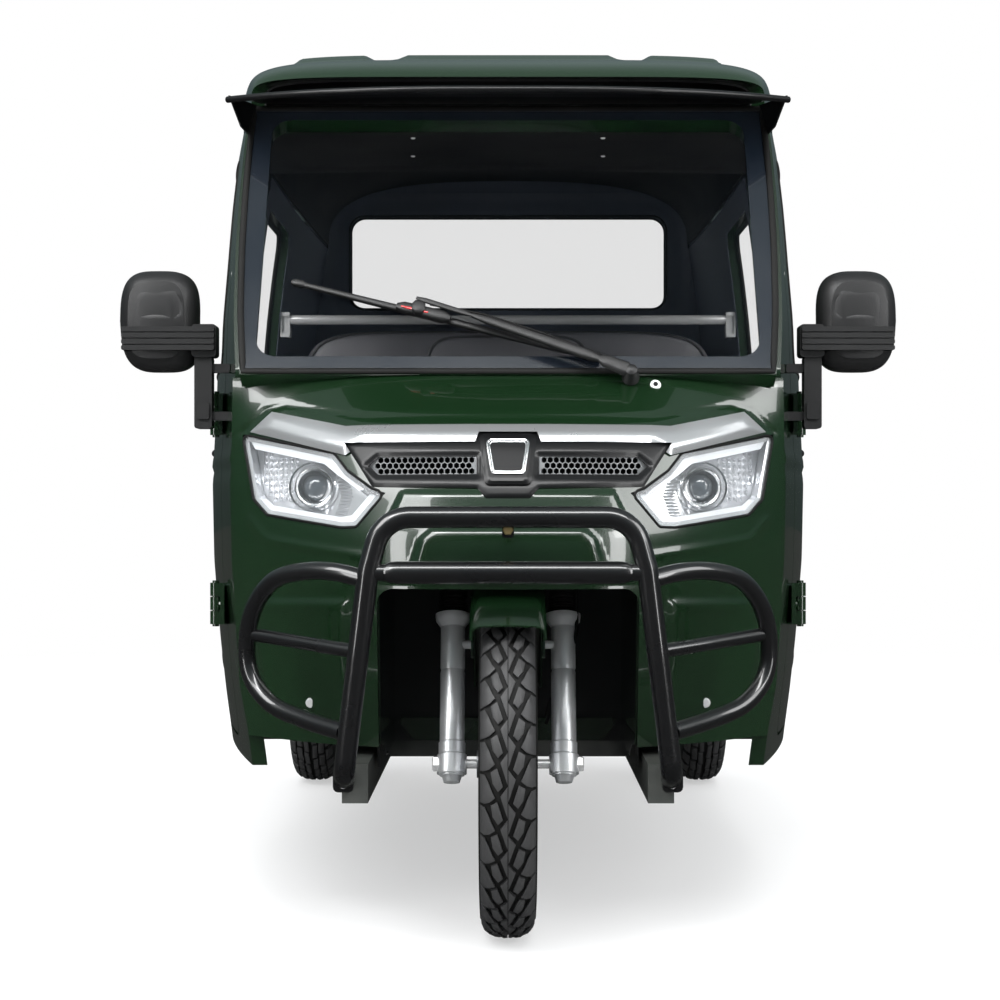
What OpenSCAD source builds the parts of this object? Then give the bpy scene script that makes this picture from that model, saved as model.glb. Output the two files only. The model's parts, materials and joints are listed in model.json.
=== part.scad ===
// Closed-cab electric tricycle: one steered front wheel, two driven rear wheels, two hinged doors.
// Frame: the front faces -Y, the vehicle's own left is +X, Z is up, the ground is z = 0.
// Every module draws in "axle frame": y is the distance behind the front axle.

/* [Overall] */
// Front axle to rear axle
wheelbase = 2000; // [1900:10:2200]
// Widest part of the body
body_w = 1170; // [1130:5:1240]
// Back of the rear tyre to the back of the body
rear_overhang = 55; // [45:1:130]
// Rear face of the body to the back of the rear bumper
bumper_reach = 95; // [80:5:140]
// How much narrower each side is at the nose than at its widest
nose_taper = 133; // [100:1:150]
// Thickness of the body walls, doors and roof
wall_t = 25; // [18:1:30]

/* [Heights] */
// Underside of the side panels
sill_z = 255; // [245:1:275]
// Floor of the cab
floor_z = 300; // [295:1:320]
// Foot of the windscreen, top of the nose
cowl_z = 904; // [890:1:920]
// Where the side panels end and the roof begins
rail_z = 1400; // [1380:1:1450]
// Height of the roof above its rail at the back
roof_h = 205; // [180:1:240]

/* [Windscreen and windows] */
// Rearward slant of the windscreen from the vertical, in degrees
screen_lean = 27.4; // [24:0.2:30]
// Half the width of the clear glass
screen_half = 410; // [380:1:415]
// Depth of the windscreen frame
screen_frame_t = 40; // [30:1:45]
// Bottom edge of the side windows
window_z = 935; // [925:1:990]
// Thickness of the window glass
glass_t = 5; // [4:0.5:6]
// Corner radius of the windows
window_r = 40; // [20:1:60]
// Rear window: half width
rear_win_half = 424; // [380:1:440]
// Rear window: bottom edge
rear_win_z = 1225; // [1180:1:1260]
// Rear window: height
rear_win_h = 250; // [200:1:260]

/* [Doors] */
// Front edge of the door behind the front axle
door_y = 305; // [300:1:340]
// Length of the door at its bottom
door_l = 775; // [720:1:800]
// Gap round the door
door_gap = 6; // [5.5:0.5:8]
// Hinge pin radius
hinge_pin_r = 6; // [5:0.5:7]

/* [Nose] */
// Half width of the wheel opening in the nose
well_half = 205; // [203:1:210]
// Top of the wheel opening below the mudguard's highest line
lip_drop = 7; // [3:0.5:9]
// Bottom edge of the nose
skirt_z = 306; // [290:1:320]
// Fullness of the nose in plan: larger is flatter in the middle
nose_bow = 2.2; // [2:0.05:2.6]
// Where the nose meets the side panels, behind the front axle
nose_y = 150; // [140:1:160]
// Thickness of the nose shell
nose_t = 22; // [15:1:25]

/* [Wheels] */
// Tyre outer radius
tyre_r = 275; // [265:1:280]
// Front tyre width
front_tyre_w = 90; // [80:1:96]
// Rear tyre width
rear_tyre_w = 108; // [100:1:116]
// Bead seat radius of the rims
rim_r = 158; // [150:1:165]
// Half the distance between the rear tyres' middles
rear_track_half = 484; // [474:1:486]
// Rear tyre to the edge of its wheel arch
arch_gap = 50; // [30:1:60]
// Rear tyre to the inside of its housing
house_gap = 25; // [18:1:40]

/* [Steering] */
// Rake of the steering axis, in degrees
rake = 18; // [16:0.5:20]
// Steering axis behind the fork legs
fork_offset = 40; // [35:1:45]
// Fork leg radius
leg_r = 20; // [17:0.5:21]
// Half the distance between the legs
leg_half = 90; // [86:1:94]
// Tyre to the mudguard
guard_gap = 25; // [21:0.5:29]
// Mudguard half width
guard_half = 57; // [54:1:60]

/* [Bull bar] */
// Radius of the top hoop and uprights
bar_r = 14; // [11:0.5:16]
// Radius of the side hoops
hoop_r = 12; // [10:0.5:13]
// Height of the top hoop's middle
bar_top_z = 672; // [655:1:690]
// Front of the bull bar before the front axle
bar_y = 220; // [215:1:235]

/* [Running clearance] */
// Pin to bore, and soft pieces to their seats
fit = 0.3; // [0.2:0.05:0.4]

/* [Hidden] */
$fn = 48;
e = 0.01;
// Everything is drawn round this axle height and lifted so that the tyres touch the ground
axle_z = 275;
back_y = wheelbase + tyre_r + rear_overhang;
guard_r = tyre_r + guard_gap;
arch_r = tyre_r + arch_gap;
lip_z = axle_z + guard_r - lip_drop;
house_top = axle_z + tyre_r + 90;
axle_y = -(back_y + bumper_reach - tyre_r) / 2;
rear_y = wheelbase;
body_half = body_w / 2;
bow_end = 900;
rail_h = 60;
chassis_half = 235;
chassis_w = 40;
rail_front = -148;
nozzle_x = 243;
nozzle_z = 888;

// Side lean: height, how far the wall stands in from the widest line
LEAN = [[200, 42], [255, 38], [343, 26], [442, 15], [590, 3], [738, 0], [897, 8], [1017, 12],
        [1132, 22], [1227, 33], [1343, 49], [1400, 60]];
// Middle of the nose: height, distance of its skin behind the front axle
NOSE = [[255, -60], [300, -80], [380, -105], [470, -128], [560, -145], [640, -140],
        [720, -115], [790, -70], [830, -20], [870, 45], [904, 100], [960, 180]];
// Half width of the nose at the joint with the side panels: height, half width
NOSE_HALF = [[255, 428], [306, 434], [388, 449], [473, 455], [602, 462], [730, 464], [904, 461]];
// Roof: distance behind the front axle, share of the full height, half width share
ROOF = [[0, 0.33], [95, 0.50], [250, 0.66], [560, 0.80], [1050, 0.93], [1640, 1.0], [1950, 0.97]];

function side_x(y) = body_half
    - (y < bow_end ? nose_taper * pow((bow_end - y) / (bow_end - 100), 1.6) : 0)
    - (y > 1500 ? 18 * pow((y - 1500) / 830, 2) : 0);
function wall_x(y, z) = side_x(y) - lookup(z, LEAN);
function nose_half(z) = lookup(z, NOSE_HALF);
function nose_at(x, z) = lookup(z, NOSE)
    + (nose_y - lookup(z, NOSE)) * pow(min(1.2, abs(x) / nose_half(z)), nose_bow);
function screen_y(z) = 100 + (z - cowl_z) * tan(screen_lean);
function roof_front() = screen_y(rail_z) + 5;
function roof_rise(y) = roof_h * lookup(y - roof_front(), ROOF);
function roof_z(x, y) = let (b = wall_x(y, rail_z))
    rail_z + roof_rise(y) * pow(1 - pow(min(1, abs(x) / b), 2.8), 1 / 2.8);

// A closed ring of points with its corners rounded by r, n points to a corner
function rounded(p, r, n = 5) = [for (i = [0:len(p) - 1])
    let (a = p[(i + len(p) - 1) % len(p)], b = p[i], c = p[(i + 1) % len(p)],
         u = (a - b) / norm(a - b), v = (c - b) / norm(c - b),
         half = acos(max(-1, min(1, u * v))) / 2,
         rr = min(r, 0.49 * min(norm(a - b), norm(c - b)) * tan(half)),
         m = b + (u + v) / norm(u + v) * rr / sin(half),
         p0 = b + u * rr / tan(half), p1 = b + v * rr / tan(half),
         d0 = p0 - m, d1 = p1 - m, sweep = 180 - 2 * half)
    for (k = [0:n - 1]) let (t = k / (n - 1))
        m + (sin((1 - t) * sweep) * d0 + sin(t * sweep) * d1) / sin(sweep)];
function box2(x0, y0, x1, y1) = [[x0, y0], [x1, y0], [x1, y1], [x0, y1]];
// Superellipse ring of n points: half sizes a and b, power p
function oval(a, b, p = 2.5, n = 24) = [for (i = [0:n - 1]) let (t = 360 * i / n)
    [a * sign(cos(t)) * pow(abs(cos(t)), 2 / p), b * sign(sin(t)) * pow(abs(sin(t)), 2 / p)]];

// A solid between two grids of points: the outer skin and the inner skin, rows then columns
module slab(outer, inner) {
    m = len(outer);
    n = len(outer[0]);
    k = m * n;
    cell = function(a, b, c, d) [[a, b, c], [a, c, d]];
    pts = concat([for (r = outer) each r], [for (r = inner) each r]);
    faces = concat(
        [for (i = [0:m - 2]) for (j = [0:n - 2])
            each cell(i * n + j, i * n + j + 1, (i + 1) * n + j + 1, (i + 1) * n + j)],
        [for (i = [0:m - 2]) for (j = [0:n - 2])
            each cell(k + i * n + j, k + (i + 1) * n + j, k + (i + 1) * n + j + 1, k + i * n + j + 1)],
        [for (j = [0:n - 2]) each cell(j + 1, j, k + j, k + j + 1)],
        [for (j = [0:n - 2]) let (s = (m - 1) * n) each cell(s + j, s + j + 1, k + s + j + 1, k + s + j)],
        [for (i = [0:m - 2]) each cell(i * n, (i + 1) * n, k + (i + 1) * n, k + i * n)],
        [for (i = [0:m - 2]) let (s = n - 1)
            each cell((i + 1) * n + s, i * n + s, k + i * n + s, k + (i + 1) * n + s)]);
    polyhedron(points = pts, faces = faces);
}

// A solid through closed rings of equal length, with flat ends
module loft(rings) {
    n = len(rings[0]);
    m = len(rings);
    polyhedron(points = [for (r = rings) each r], faces = concat(
        [[for (j = [0:n - 1]) j]],
        [for (i = [0:m - 2]) for (j = [0:n - 1]) let (a = i * n + j, b = i * n + (j + 1) % n)
            each [[a, a + n, b + n], [a, b + n, b]]],
        [[for (j = [n - 1:-1:0]) (m - 1) * n + j]]));
}

// A round bar through points, with round bends of radius bend at the inner ones
module pipe(p, r, bend = 60, sides = 12) {
    n = len(p);
    bent = rounded(p, bend, 6);
    c = concat([p[0]], [for (i = [6:6 * n - 7]) bent[i]], [p[n - 1]]);
    m = len(c);
    dirs = [for (i = [0:m - 1]) let (d = c[min(i + 1, m - 1)] - c[max(i - 1, 0)]) d / norm(d)];
    first = cross(dirs[0], abs(dirs[0][2]) < 0.9 ? [0, 0, 1] : [0, 1, 0]);
    ups = [for (i = 0, u = first / norm(first); i < m;
                i = i + 1, u = let (w = u - dirs[min(i, m - 1)] * (u * dirs[min(i, m - 1)])) w / norm(w)) u];
    loft([for (i = [0:m - 1]) let (u = ups[i] - dirs[i] * (ups[i] * dirs[i]), a = u / norm(u), b = cross(dirs[i], a))
        [for (k = [0:sides - 1]) c[i] + r * (a * cos(360 * k / sides) + b * sin(360 * k / sides))]]);
}
// The same points continued on the other side of the middle plane
function across(p) = concat([for (i = [len(p) - 1:-1:0]) [-p[i][0], p[i][1], p[i][2]]], p);

// A round rod from a to b
module rod(a, b, r) {
    d = b - a;
    translate(a) rotate([0, acos(d[2] / norm(d)), atan2(d[1], d[0])]) cylinder(r = r, h = norm(d));
}

// A flat shape drawn in (y, z), standing across X from x0, t thick
module side_plate(x0, t) { translate([x0, 0, 0]) rotate([90, 0, 90]) linear_extrude(t) children(); }
// A flat shape drawn in (x, z), pushed backward from y0 by t
module front_plate(y0, t) { translate([0, y0 + t, 0]) rotate([90, 0, 0]) linear_extrude(t) children(); }
// Moves what is drawn from the front axle to the middle of the vehicle
module at_axle() { translate([0, axle_y, tyre_r - axle_z]) children(); }
// A box between two corners
module block(a, b) { translate(a) cube(b - a); }
module both() { children(); mirror([1, 0, 0]) children(); }
// The windscreen's own plane: x across, y up the slant from its foot, z out of the glass
module on_screen() {
    translate([0, screen_y(cowl_z), cowl_z]) rotate([90 - screen_lean, 0, 0]) children();
}
// The steering axis: z along it, origin where it passes the axle's height
module on_steering() {
    translate([0, fork_offset / cos(rake), axle_z]) rotate([-rake, 0, 0]) children();
}

// Body: side panels, doors, roof

// Part of the +X wall between two depths below its outer face, y0 to y1 and z0 to z1
module wall_skin(outer = 0, inner = wall_t, y0 = 100, y1 = 9999, z0 = 0, z1 = 9999) {
    ya = y0;
    yb = min(y1, back_y - wall_t);
    za = max(z0, sill_z);
    zb = min(z1, rail_z);
    nodes = concat([for (y = [100:80:bow_end]) y], [for (k = [1:4]) bow_end + (back_y - wall_t - bow_end) * k / 5]);
    ys = concat([ya], [for (y = nodes) if (y > ya + 20 && y < yb - 20) y], [yb]);
    zs = concat([za], [for (r = LEAN) if (r[0] > za + 20 && r[0] < zb - 20) r[0]], [zb]);
    slab([for (y = ys) [for (z = zs) [wall_x(y, z) - outer, y, z]]],
         [for (y = ys) [for (z = zs) [wall_x(y, z) - inner, y, z]]]);
}

seam = 3;
frame_back = screen_frame_t / cos(screen_lean);
door_end = door_y + door_l;
door_top = rail_z - 28;
door_low = sill_z + 35;
pillar_w = 62;
side_front = screen_y(rail_z) + frame_back + 1;
quarter_y0 = door_end + 66;
quarter_y1 = 1572;

side_low = cowl_z + (nose_y + seam - 101 - frame_back) / tan(screen_lean);

function door_outline(g) = let (f = frame_back + pillar_w, zc = cowl_z + (door_y - 100 - f) / tan(screen_lean))
    rounded([[door_y - g, door_low - g], [door_end + g, door_low - g], [door_end + g, door_top + g],
             [screen_y(door_top) + f - g, door_top + g], [door_y - g, zc]], 45 + g, 5);
function door_window(g) = let (f = frame_back + pillar_w + 62, y0 = door_y + 80,
        zc = cowl_z + (y0 - 100 - f) / tan(screen_lean))
    rounded([[y0 + g, window_z + g], [door_end - 60 - g, window_z + g], [door_end - 60 - g, door_top - 48 - g],
             [screen_y(door_top - 48) + f + g, door_top - 48 - g], [y0 + g, zc]], window_r, 5);
function quarter_window(g) = rounded(box2(quarter_y0 + g, window_z + g, quarter_y1 - g, door_top - 42 - g),
                                     window_r, 5);

hinge_x = wall_x(door_y, 738) + 8;
hinge_y = door_y - door_gap / 2;
hinge_zs = [520, 850];
knuckle_r = hinge_pin_r + 4;
knuckle_h = 24;

module side_panel() {
    difference() {
        intersection() {
            wall_skin();
            side_plate(300, 400) polygon([
                [nose_y + seam, sill_z - 1], [nose_y + seam, side_low], [side_front, rail_z + 1],
                [back_y - wall_t, rail_z + 1], [back_y - wall_t, skirt_z], [rear_y + arch_r - 35, skirt_z],
                [rear_y + arch_r - 65, sill_z - 1]]);
        }
        side_plate(300, 400) polygon(door_outline(door_gap));
        side_plate(300, 400) polygon(quarter_window(0));
        translate([300, rear_y, axle_z]) rotate([0, 90, 0]) cylinder(r = arch_r, h = 400);
    }
    // Rolled lip round the wheel arch
    intersection() {
        wall_skin(-9, 1, rear_y - arch_r - 40, back_y, skirt_z, 700);
        difference() {
            translate([300, rear_y, axle_z]) rotate([0, 90, 0]) cylinder(r = arch_r + 28, h = 400);
            translate([299, rear_y, axle_z]) rotate([0, 90, 0]) cylinder(r = arch_r, h = 402);
            block([290, rear_y - 500, 0], [800, rear_y + 500, skirt_z]);
        }
    }
    for (z = hinge_zs) {
        skin_x = wall_x(door_y, z) - 4;
        for (dz = [-knuckle_h * 1.5, knuckle_h * 0.5 + 1]) {
            translate([hinge_x, hinge_y, z + dz]) cylinder(r = knuckle_r, h = knuckle_h - 1);
            block([skin_x, hinge_y - 14, z + dz], [hinge_x, hinge_y, z + dz + knuckle_h - 1]);
        }
        block([skin_x, hinge_y - 48, z - knuckle_h * 1.5], [hinge_x + 2, hinge_y - 12, z + knuckle_h * 1.5]);
        translate([hinge_x, hinge_y, z - knuckle_h * 1.5 - 4]) cylinder(r = hinge_pin_r, h = knuckle_h * 3 + 8);
    }
}

module door_panel() {
    difference() {
        intersection() {
            wall_skin(0, wall_t, door_y - 20, door_end + 20, door_low - 20, door_top + 10);
            side_plate(300, 400) polygon(door_outline(0));
        }
        side_plate(300, 400) polygon(door_window(0));
        // Recess for the fingers behind the handle
        translate([wall_x(door_end - 95, 800) + 6, door_end - 95, 800]) sphere(r = 26);
    }
    for (z = hinge_zs) difference() {
        union() {
            translate([hinge_x, hinge_y, z - knuckle_h / 2 + 0.5]) cylinder(r = knuckle_r, h = knuckle_h - 1);
            block([wall_x(door_y, z) - 8, hinge_y + 1, z - knuckle_h / 2 + 0.5],
                  [hinge_x + 2, hinge_y + 46, z + knuckle_h / 2 - 0.5]);
        }
        translate([hinge_x, hinge_y, z - knuckle_h]) cylinder(r = hinge_pin_r + fit, h = knuckle_h * 2);
    }
    // Pull handle across the recess
    hx = wall_x(door_end - 95, 800);
    for (y = [-60, 48]) block([hx - 3, door_end - 95 + y, 788], [hx + 17, door_end - 83 + y, 812]);
    block([hx + 13, door_end - 155, 786], [hx + 22, door_end - 35, 814]);
    // Inner pull, where the driver closes the door
    ix = wall_x(door_end - 200, 760) - wall_t;
    for (y = [-60, 48]) block([ix - 24, door_end - 200 + y, 752], [ix + 2, door_end - 188 + y, 770]);
    block([ix - 32, door_end - 260, 750], [ix - 22, door_end - 140, 772]);
}

module wall_glass(outline, y0, y1) {
    intersection() {
        wall_skin(10, 10 + glass_t, y0, y1, window_z - 10, door_top - 30);
        side_plate(300, 400) polygon(outline);
    }
}

function roof_row(y, d) = [for (k = [0:22]) let (t = 180 - k * 180 / 22)
    [(wall_x(y, rail_z) - d) * sign(cos(t)) * pow(abs(cos(t)), 2 / 2.8), y,
     rail_z + (roof_rise(y) - d) * pow(abs(sin(t)), 2 / 2.8)]];

module roof_solid(y0, y1, d) {
    ys = concat([y0], [for (r = ROOF) let (y = roof_front() + r[0]) if (y > y0 + 10 && y < y1 - 10) y], [y1]);
    loft([for (i = [len(ys) - 1:-1:0]) let (row = roof_row(ys[i], d)) [for (k = [22:-1:0]) row[k]]]);
}

// A raised pad pressed into the roof, from x0 to x1 and y0 to y1
module roof_pad(x0, x1, y0, y1, rise = 9) {
    ys = [y0, y0 + 25, for (k = [1:5]) y0 + 25 + (y1 - y0 - 50) * k / 5, y1];
    xs = [x0, x0 + 14, x0 * 0.66 + x1 * 0.34, x0 * 0.34 + x1 * 0.66, x1 - 14, x1];
    top = function(x, y, i, j) roof_z(x, y) + (i == 0 || i == len(xs) - 1 || j == 0 || j == len(ys) - 1 ? 0 : rise);
    slab([for (i = [0:len(xs) - 1]) [for (j = [0:len(ys) - 1]) [xs[i], ys[j], top(xs[i], ys[j], i, j)]]],
         [for (x = xs) [for (y = ys) [x, y, roof_z(x, y) - 8]]]);
}

module roof() at_axle() color([0.06, 0.17, 0.12]) {
    last = back_y - wall_t;
    difference() {
        roof_solid(roof_front(), last, 0);
        translate([0, 0, -e]) roof_solid(roof_front() + wall_t, last + 1, wall_t);
    }
    roof_pad(-395, -255, roof_front() + 150, back_y - 190);
    roof_pad(-205, 205, roof_front() + 150, back_y - 190);
    roof_pad(255, 395, roof_front() + 150, back_y - 190);
}

function back_outline(y, d) = concat(
    [for (z = [skirt_z + d, 442, 590, 738, 897, 1017, 1132, 1227, 1343]) [wall_x(y, z) - d, z]],
    [for (k = [22:-1:0]) let (p = roof_row(y, d)[k]) [p[0], p[2]]],
    [for (z = [1343, 1227, 1132, 1017, 897, 738, 590, 442, skirt_z + d]) [-wall_x(y, z) + d, z]]);

module rear_wall() at_axle() color([0.06, 0.17, 0.12]) {
    y0 = back_y - wall_t;
    difference() {
        loft([for (r = [[back_y, 14], [back_y - 6, 4], [back_y - 14, 0], [y0, 0]])
            [for (p = back_outline(r[0], r[1])) [p[0], r[0], p[1]]]]);
        rear_opening(0, y0 - 1, wall_t + 2);
        front_plate(back_y - 5, 6) polygon(rounded(box2(-300, 560, 300, 760), 30, 5));
    }
    // Pressed frame round the window and two stiffening ribs below it, inside the cab
    difference() {
        rear_opening(-34, y0 - 7, 7.5);
        rear_opening(-6, y0 - 8, 10);
    }
    for (z = [980, 1090]) block([-400, y0 - 7, z], [400, y0 + 0.5, z + 36]);
}

module rear_opening(g, y, t) {
    front_plate(y, t) polygon(rounded(box2(-rear_win_half + g, rear_win_z + g, rear_win_half - g,
                                           rear_win_z + rear_win_h - g), window_r - g, 6));
}

module rear_glazing() at_axle() color([0.5, 0.6, 0.65, 0.4]) {
    both() wall_glass(quarter_window(fit), quarter_y0 - 10, quarter_y1 + 10);
    rear_opening(fit, back_y - 18, glass_t);
}

// Nose, lamps, grille and bull bar

// Part of the nose skin between two depths behind its outer face, x0 to x1 and z0 to z1
module nose_skin(front, back, x0 = -1, x1 = 1, z0 = 200, z1 = 2000, nx = 16) {
    edge = x0 == -1;
    zs = concat([max(z0, skirt_z - 1)], [for (r = NOSE) if (r[0] > max(z0, skirt_z) + 8 && r[0] < min(z1, cowl_z) - 8) r[0]],
                [min(z1, cowl_z)]);
    xs = function(z, i) edge ? nose_half(z) * (2 * i / nx - 1) : x0 + (x1 - x0) * i / nx;
    slab([for (i = [0:nx]) [for (z = zs) let (x = xs(z, i)) [x, nose_at(x, z) + front, z]]],
         [for (i = [0:nx]) [for (z = zs) let (x = xs(z, i)) [x, nose_at(x, z) + back, z]]]);
}

lamp_outline = [[443, 809], [278, 774], [254, 745], [214, 717], [192, 709], [238, 655], [264, 654],
                [394, 674], [420, 700]];
lamp_x = 312;
lamp_z = 719;
lamp_r = 31;
grille_outline = [[-262, 790], [-52, 790], [-46, 806], [46, 806], [52, 790], [262, 790], [236, 752], [214, 719],
                  [48, 716], [34, 700], [-34, 700], [-48, 716], [-214, 719], [-236, 752]];
mesh_slot = [[48, 738], [205, 738], [222, 752], [205, 766], [48, 766]];
badge_outline = [[-25, 738], [25, 738], [34.5, 793], [-34.5, 793]];
wing = [[0, 817], [228, 819], [262, 818], [390, 845], [428, 812], [260, 770], [228, 789], [0, 789]];
mesh_cell = 10;
pad_rise = 16;
function badge_block(g) = rounded([[-36 - g, 722 - g], [36 + g, 722 - g], [46 + g, 803 + g], [-46 - g, 803 + g]], 9, 4);
mesh_wire = 1.6;

module fascia() at_axle() color([0.06, 0.17, 0.12]) difference() {
    union() {
        intersection() {
            nose_skin(0, nose_t);
            front_plate(-300, 300 + nose_y) polygon(concat(
                [[-480, cowl_z + 1], [-480, 290], [-well_half, 290]],
                rounded([[-well_half, 289], [-well_half, lip_z - 8], [well_half, lip_z - 8], [well_half, 289]], 26, 5),
                [[well_half, 290], [480, 290], [480, cowl_z + 1]]));
        }
        // Raised middle of the nose, stepped above the crossbar
        intersection() {
            nose_skin(-7, 1, -215, 215, 560, 715, 8);
            front_plate(-300, 600) polygon([[-208, lip_z + 4], [208, lip_z + 4], [200, 640], [166, 712], [-166, 712],
                                            [-200, 640]]);
        }
        intersection() {
            nose_skin(-pad_rise, -6, -160, 160, 580, 665, 8);
            front_plate(-300, 600) polygon([[-152, 592], [152, 592], [138, 640], [118, 657], [-118, 657], [-138, 640]]);
        }
        // Pressed panels behind the side hoops
        both() intersection() {
            nose_skin(-6, 1, 225, 430, 330, 560, 6);
            front_plate(-300, 600) polygon(rounded([[248, 350], [402, 350], [424, 470], [405, 540], [250, 545]], 40, 5));
        }
    }
    both() front_plate(-300, 600) polygon(lamp_outline);
    front_plate(-300, 600) polygon(grille_outline);
    front_plate(-300, 600) polygon(badge_block(1));
    // Washer jet hole
    translate([nozzle_x, nose_at(nozzle_x, nozzle_z) - 20, nozzle_z]) rotate([-90, 0, 0]) cylinder(r = 6, h = 60);
}

module lamp_skin(front, back) {
    intersection() {
        nose_skin(front, back, 180, 450, 640, 830, 8);
        front_plate(-300, 300 + nose_y) polygon(lamp_outline);
    }
}

module headlamps() at_axle() color([0.8, 0.82, 0.85]) both() {
    y0 = nose_at(lamp_x, lamp_z);
    difference() {
        lamp_skin(6, 92);
        block([150, nose_at(well_half + 4, well_top) + nose_t, 600], [well_half + 6, 300, well_top + 2]);
        // Bowl behind the cover, with a step for the light bar
        translate([0, 8, 0]) intersection() {
            nose_skin(-30, 66, 180, 450, 640, 830, 8);
            front_plate(-300, 600) polygon([[418, 772], [290, 745], [262, 712], [222, 700], [248, 668], [268, 667],
                                            [384, 686], [404, 706]]);
        }
    }
    // Projector with its ring
    translate([lamp_x, y0 + 80, lamp_z]) rotate([90, 0, 0]) {
        difference() {
            cylinder(r = lamp_r, h = 30);
            translate([0, 0, 22]) cylinder(r = lamp_r - 6, h = 20);
        }
        intersection() {
            translate([0, 0, 2]) sphere(r = 33);
            translate([0, 0, 10]) cylinder(r = lamp_r - 7, h = 40);
        }
    }
}
module headlamp_covers() at_axle() color([0.85, 0.9, 0.92, 0.35]) both() lamp_skin(-1, 3);

module grille() at_axle() color([0.03, 0.03, 0.035]) {
    difference() {
        intersection() {
            nose_skin(-4, 24, -270, 270, 695, 810, 12);
            front_plate(-300, 600) polygon(grille_outline);
        }
        both() front_plate(-300, 600) polygon(mesh_slot);
        front_plate(-300, 600) polygon(badge_outline);
    }
    // Badge block, left blank
    intersection() {
        nose_skin(-12, 18, -52, 52, 700, 806, 4);
        difference() {
            front_plate(-300, 600) polygon(badge_block(0));
            front_plate(-301, 602) polygon(badge_outline);
        }
    }
}

// Bright mesh of six-sided cells in the two slots
module grille_mesh() at_axle() color([0.7, 0.71, 0.73]) both() {
    y0 = nose_at(48, 752) + 10;
    turn = atan((nose_at(222, 752) - nose_at(48, 752)) / (222 - 48));
    slot_l = 178;
    translate([49, y0, 0]) rotate([0, 0, turn]) front_plate(0, 3) difference() {
        polygon([[0, 738.5], [slot_l - 16, 738.5], [slot_l, 752], [slot_l - 16, 765.5], [0, 765.5]]);
        for (k = [0:15]) for (row = [-1:1]) let (x = 8 + k * mesh_cell + (row == 0 ? mesh_cell / 2 : 0))
            if (x < slot_l - 8 - 10 * abs(row)) translate([x, 752 + row * mesh_cell * 0.87])
                rotate(30) circle(r = mesh_cell / sqrt(3) - mesh_wire / 2, $fn = 6);
    }
}

// Bright strip above the lamps, and the blank badge's bright rim
module chrome_strip() at_axle() color([0.85, 0.86, 0.87]) {
    difference() {
        both() intersection() {
            nose_skin(-12, -1.3, -1, 1, 760, 850, 24);
            front_plate(-300, 600) polygon(wing);
        }
        front_plate(-300, 600) polygon(grille_outline);
        front_plate(-300, 600) polygon(badge_block(1));
    }
    intersection() {
        nose_skin(-14, 10, -40, 40, 730, 800, 4);
        difference() {
            front_plate(-300, 600) polygon(badge_outline);
            front_plate(-301, 602) polygon([[-21, 742], [21, 742], [30, 789], [-30, 789]]);
        }
    }
    intersection() {
        nose_skin(-9, 6, -40, 40, 730, 800, 4);
        front_plate(-300, 600) polygon([[-21, 742], [21, 742], [30, 789], [-30, 789]]);
    }
}

module bull_bar() at_axle() color([0.02, 0.02, 0.02]) {
    top = bar_top_z;
    low_y = -bar_y + 25;
    pipe(across([[190, -bar_y, top], [212, -bar_y, 590], [250, low_y, 282], [251, rail_front - 5, 264]]), bar_r, 58, 14);
    both() {
        block([228, rail_front - 8, 236], [276, rail_front - fit, 290]);
        // Side hoop and its middle bar
        pipe([[218, -bar_y + 2, 562], [330, -160, 594], [412, -75, 575], [418, -58, 430], [372, -90, 366],
              [243, low_y, 340]], hoop_r, 34);
        rod([233, low_y - 2, 452], [417, -66, 488], hoop_r - 2);
    }
    rod([-212, -bar_y, 588], [212, -bar_y, 588], 13);
    rod([-168, -bar_y - 2, 588], [168, -bar_y - 2, 588], 18);
    // Lug under the top hoop, bolted to the nose
    block([-8, -bar_y + 2, top - 26], [8, -bar_y + 10, top - 8]);
    rod([0, -bar_y + 4, top - 20], [0, nose_at(0, top - 24) - pad_rise - 0.4, top - 20], 4);
}

// Windscreen, visor, wiper, mirrors

screen_l = (rail_z - cowl_z) / cos(screen_lean);
function screen_half_at(v, d) = wall_x(screen_y(cowl_z + v * cos(screen_lean)), cowl_z + v * cos(screen_lean)) - d;
function screen_ring(d, v0, v1) = concat(
    [for (k = [0:6]) let (v = v0 + (v1 - v0) * k / 6) [screen_half_at(v, d), v]],
    [for (k = [6:-1:0]) let (v = v0 + (v1 - v0) * k / 6) [-screen_half_at(v, d), v]]);
clear_outline = rounded([[-screen_half, 38], [screen_half, 38], [screen_half - 8, screen_l - 34],
                         [-screen_half + 8, screen_l - 34]], 34, 6);

// Only what stands above the nose's top edge
module above_nose() {
    difference() {
        children();
        block([-700, 0, cowl_z - 60], [700, 300, cowl_z + fit]);
    }
}
module windscreen_frame() at_axle() color([0.06, 0.17, 0.12]) above_nose() on_screen() {
    translate([0, 0, -screen_frame_t]) difference() {
        linear_extrude(screen_frame_t - 6) polygon(screen_ring(0, 1, screen_l));
        translate([0, 0, -1]) linear_extrude(screen_frame_t) polygon(clear_outline);
    }
}
module windscreen_seal() at_axle() color([0.03, 0.03, 0.03]) above_nose() on_screen() translate([0, 0, -6]) difference() {
    linear_extrude(9) polygon(screen_ring(3, 2, screen_l - 1));
    translate([0, 0, -1]) linear_extrude(12) polygon(screen_ring(21, 20, screen_l - 16));
}
module windscreen() at_axle() color([0.45, 0.5, 0.55, 0.4]) on_screen() translate([0, 0, -5.7])
    linear_extrude(glass_t) polygon(screen_ring(21 + fit, 20 + fit, screen_l - 16 - fit));

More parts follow.
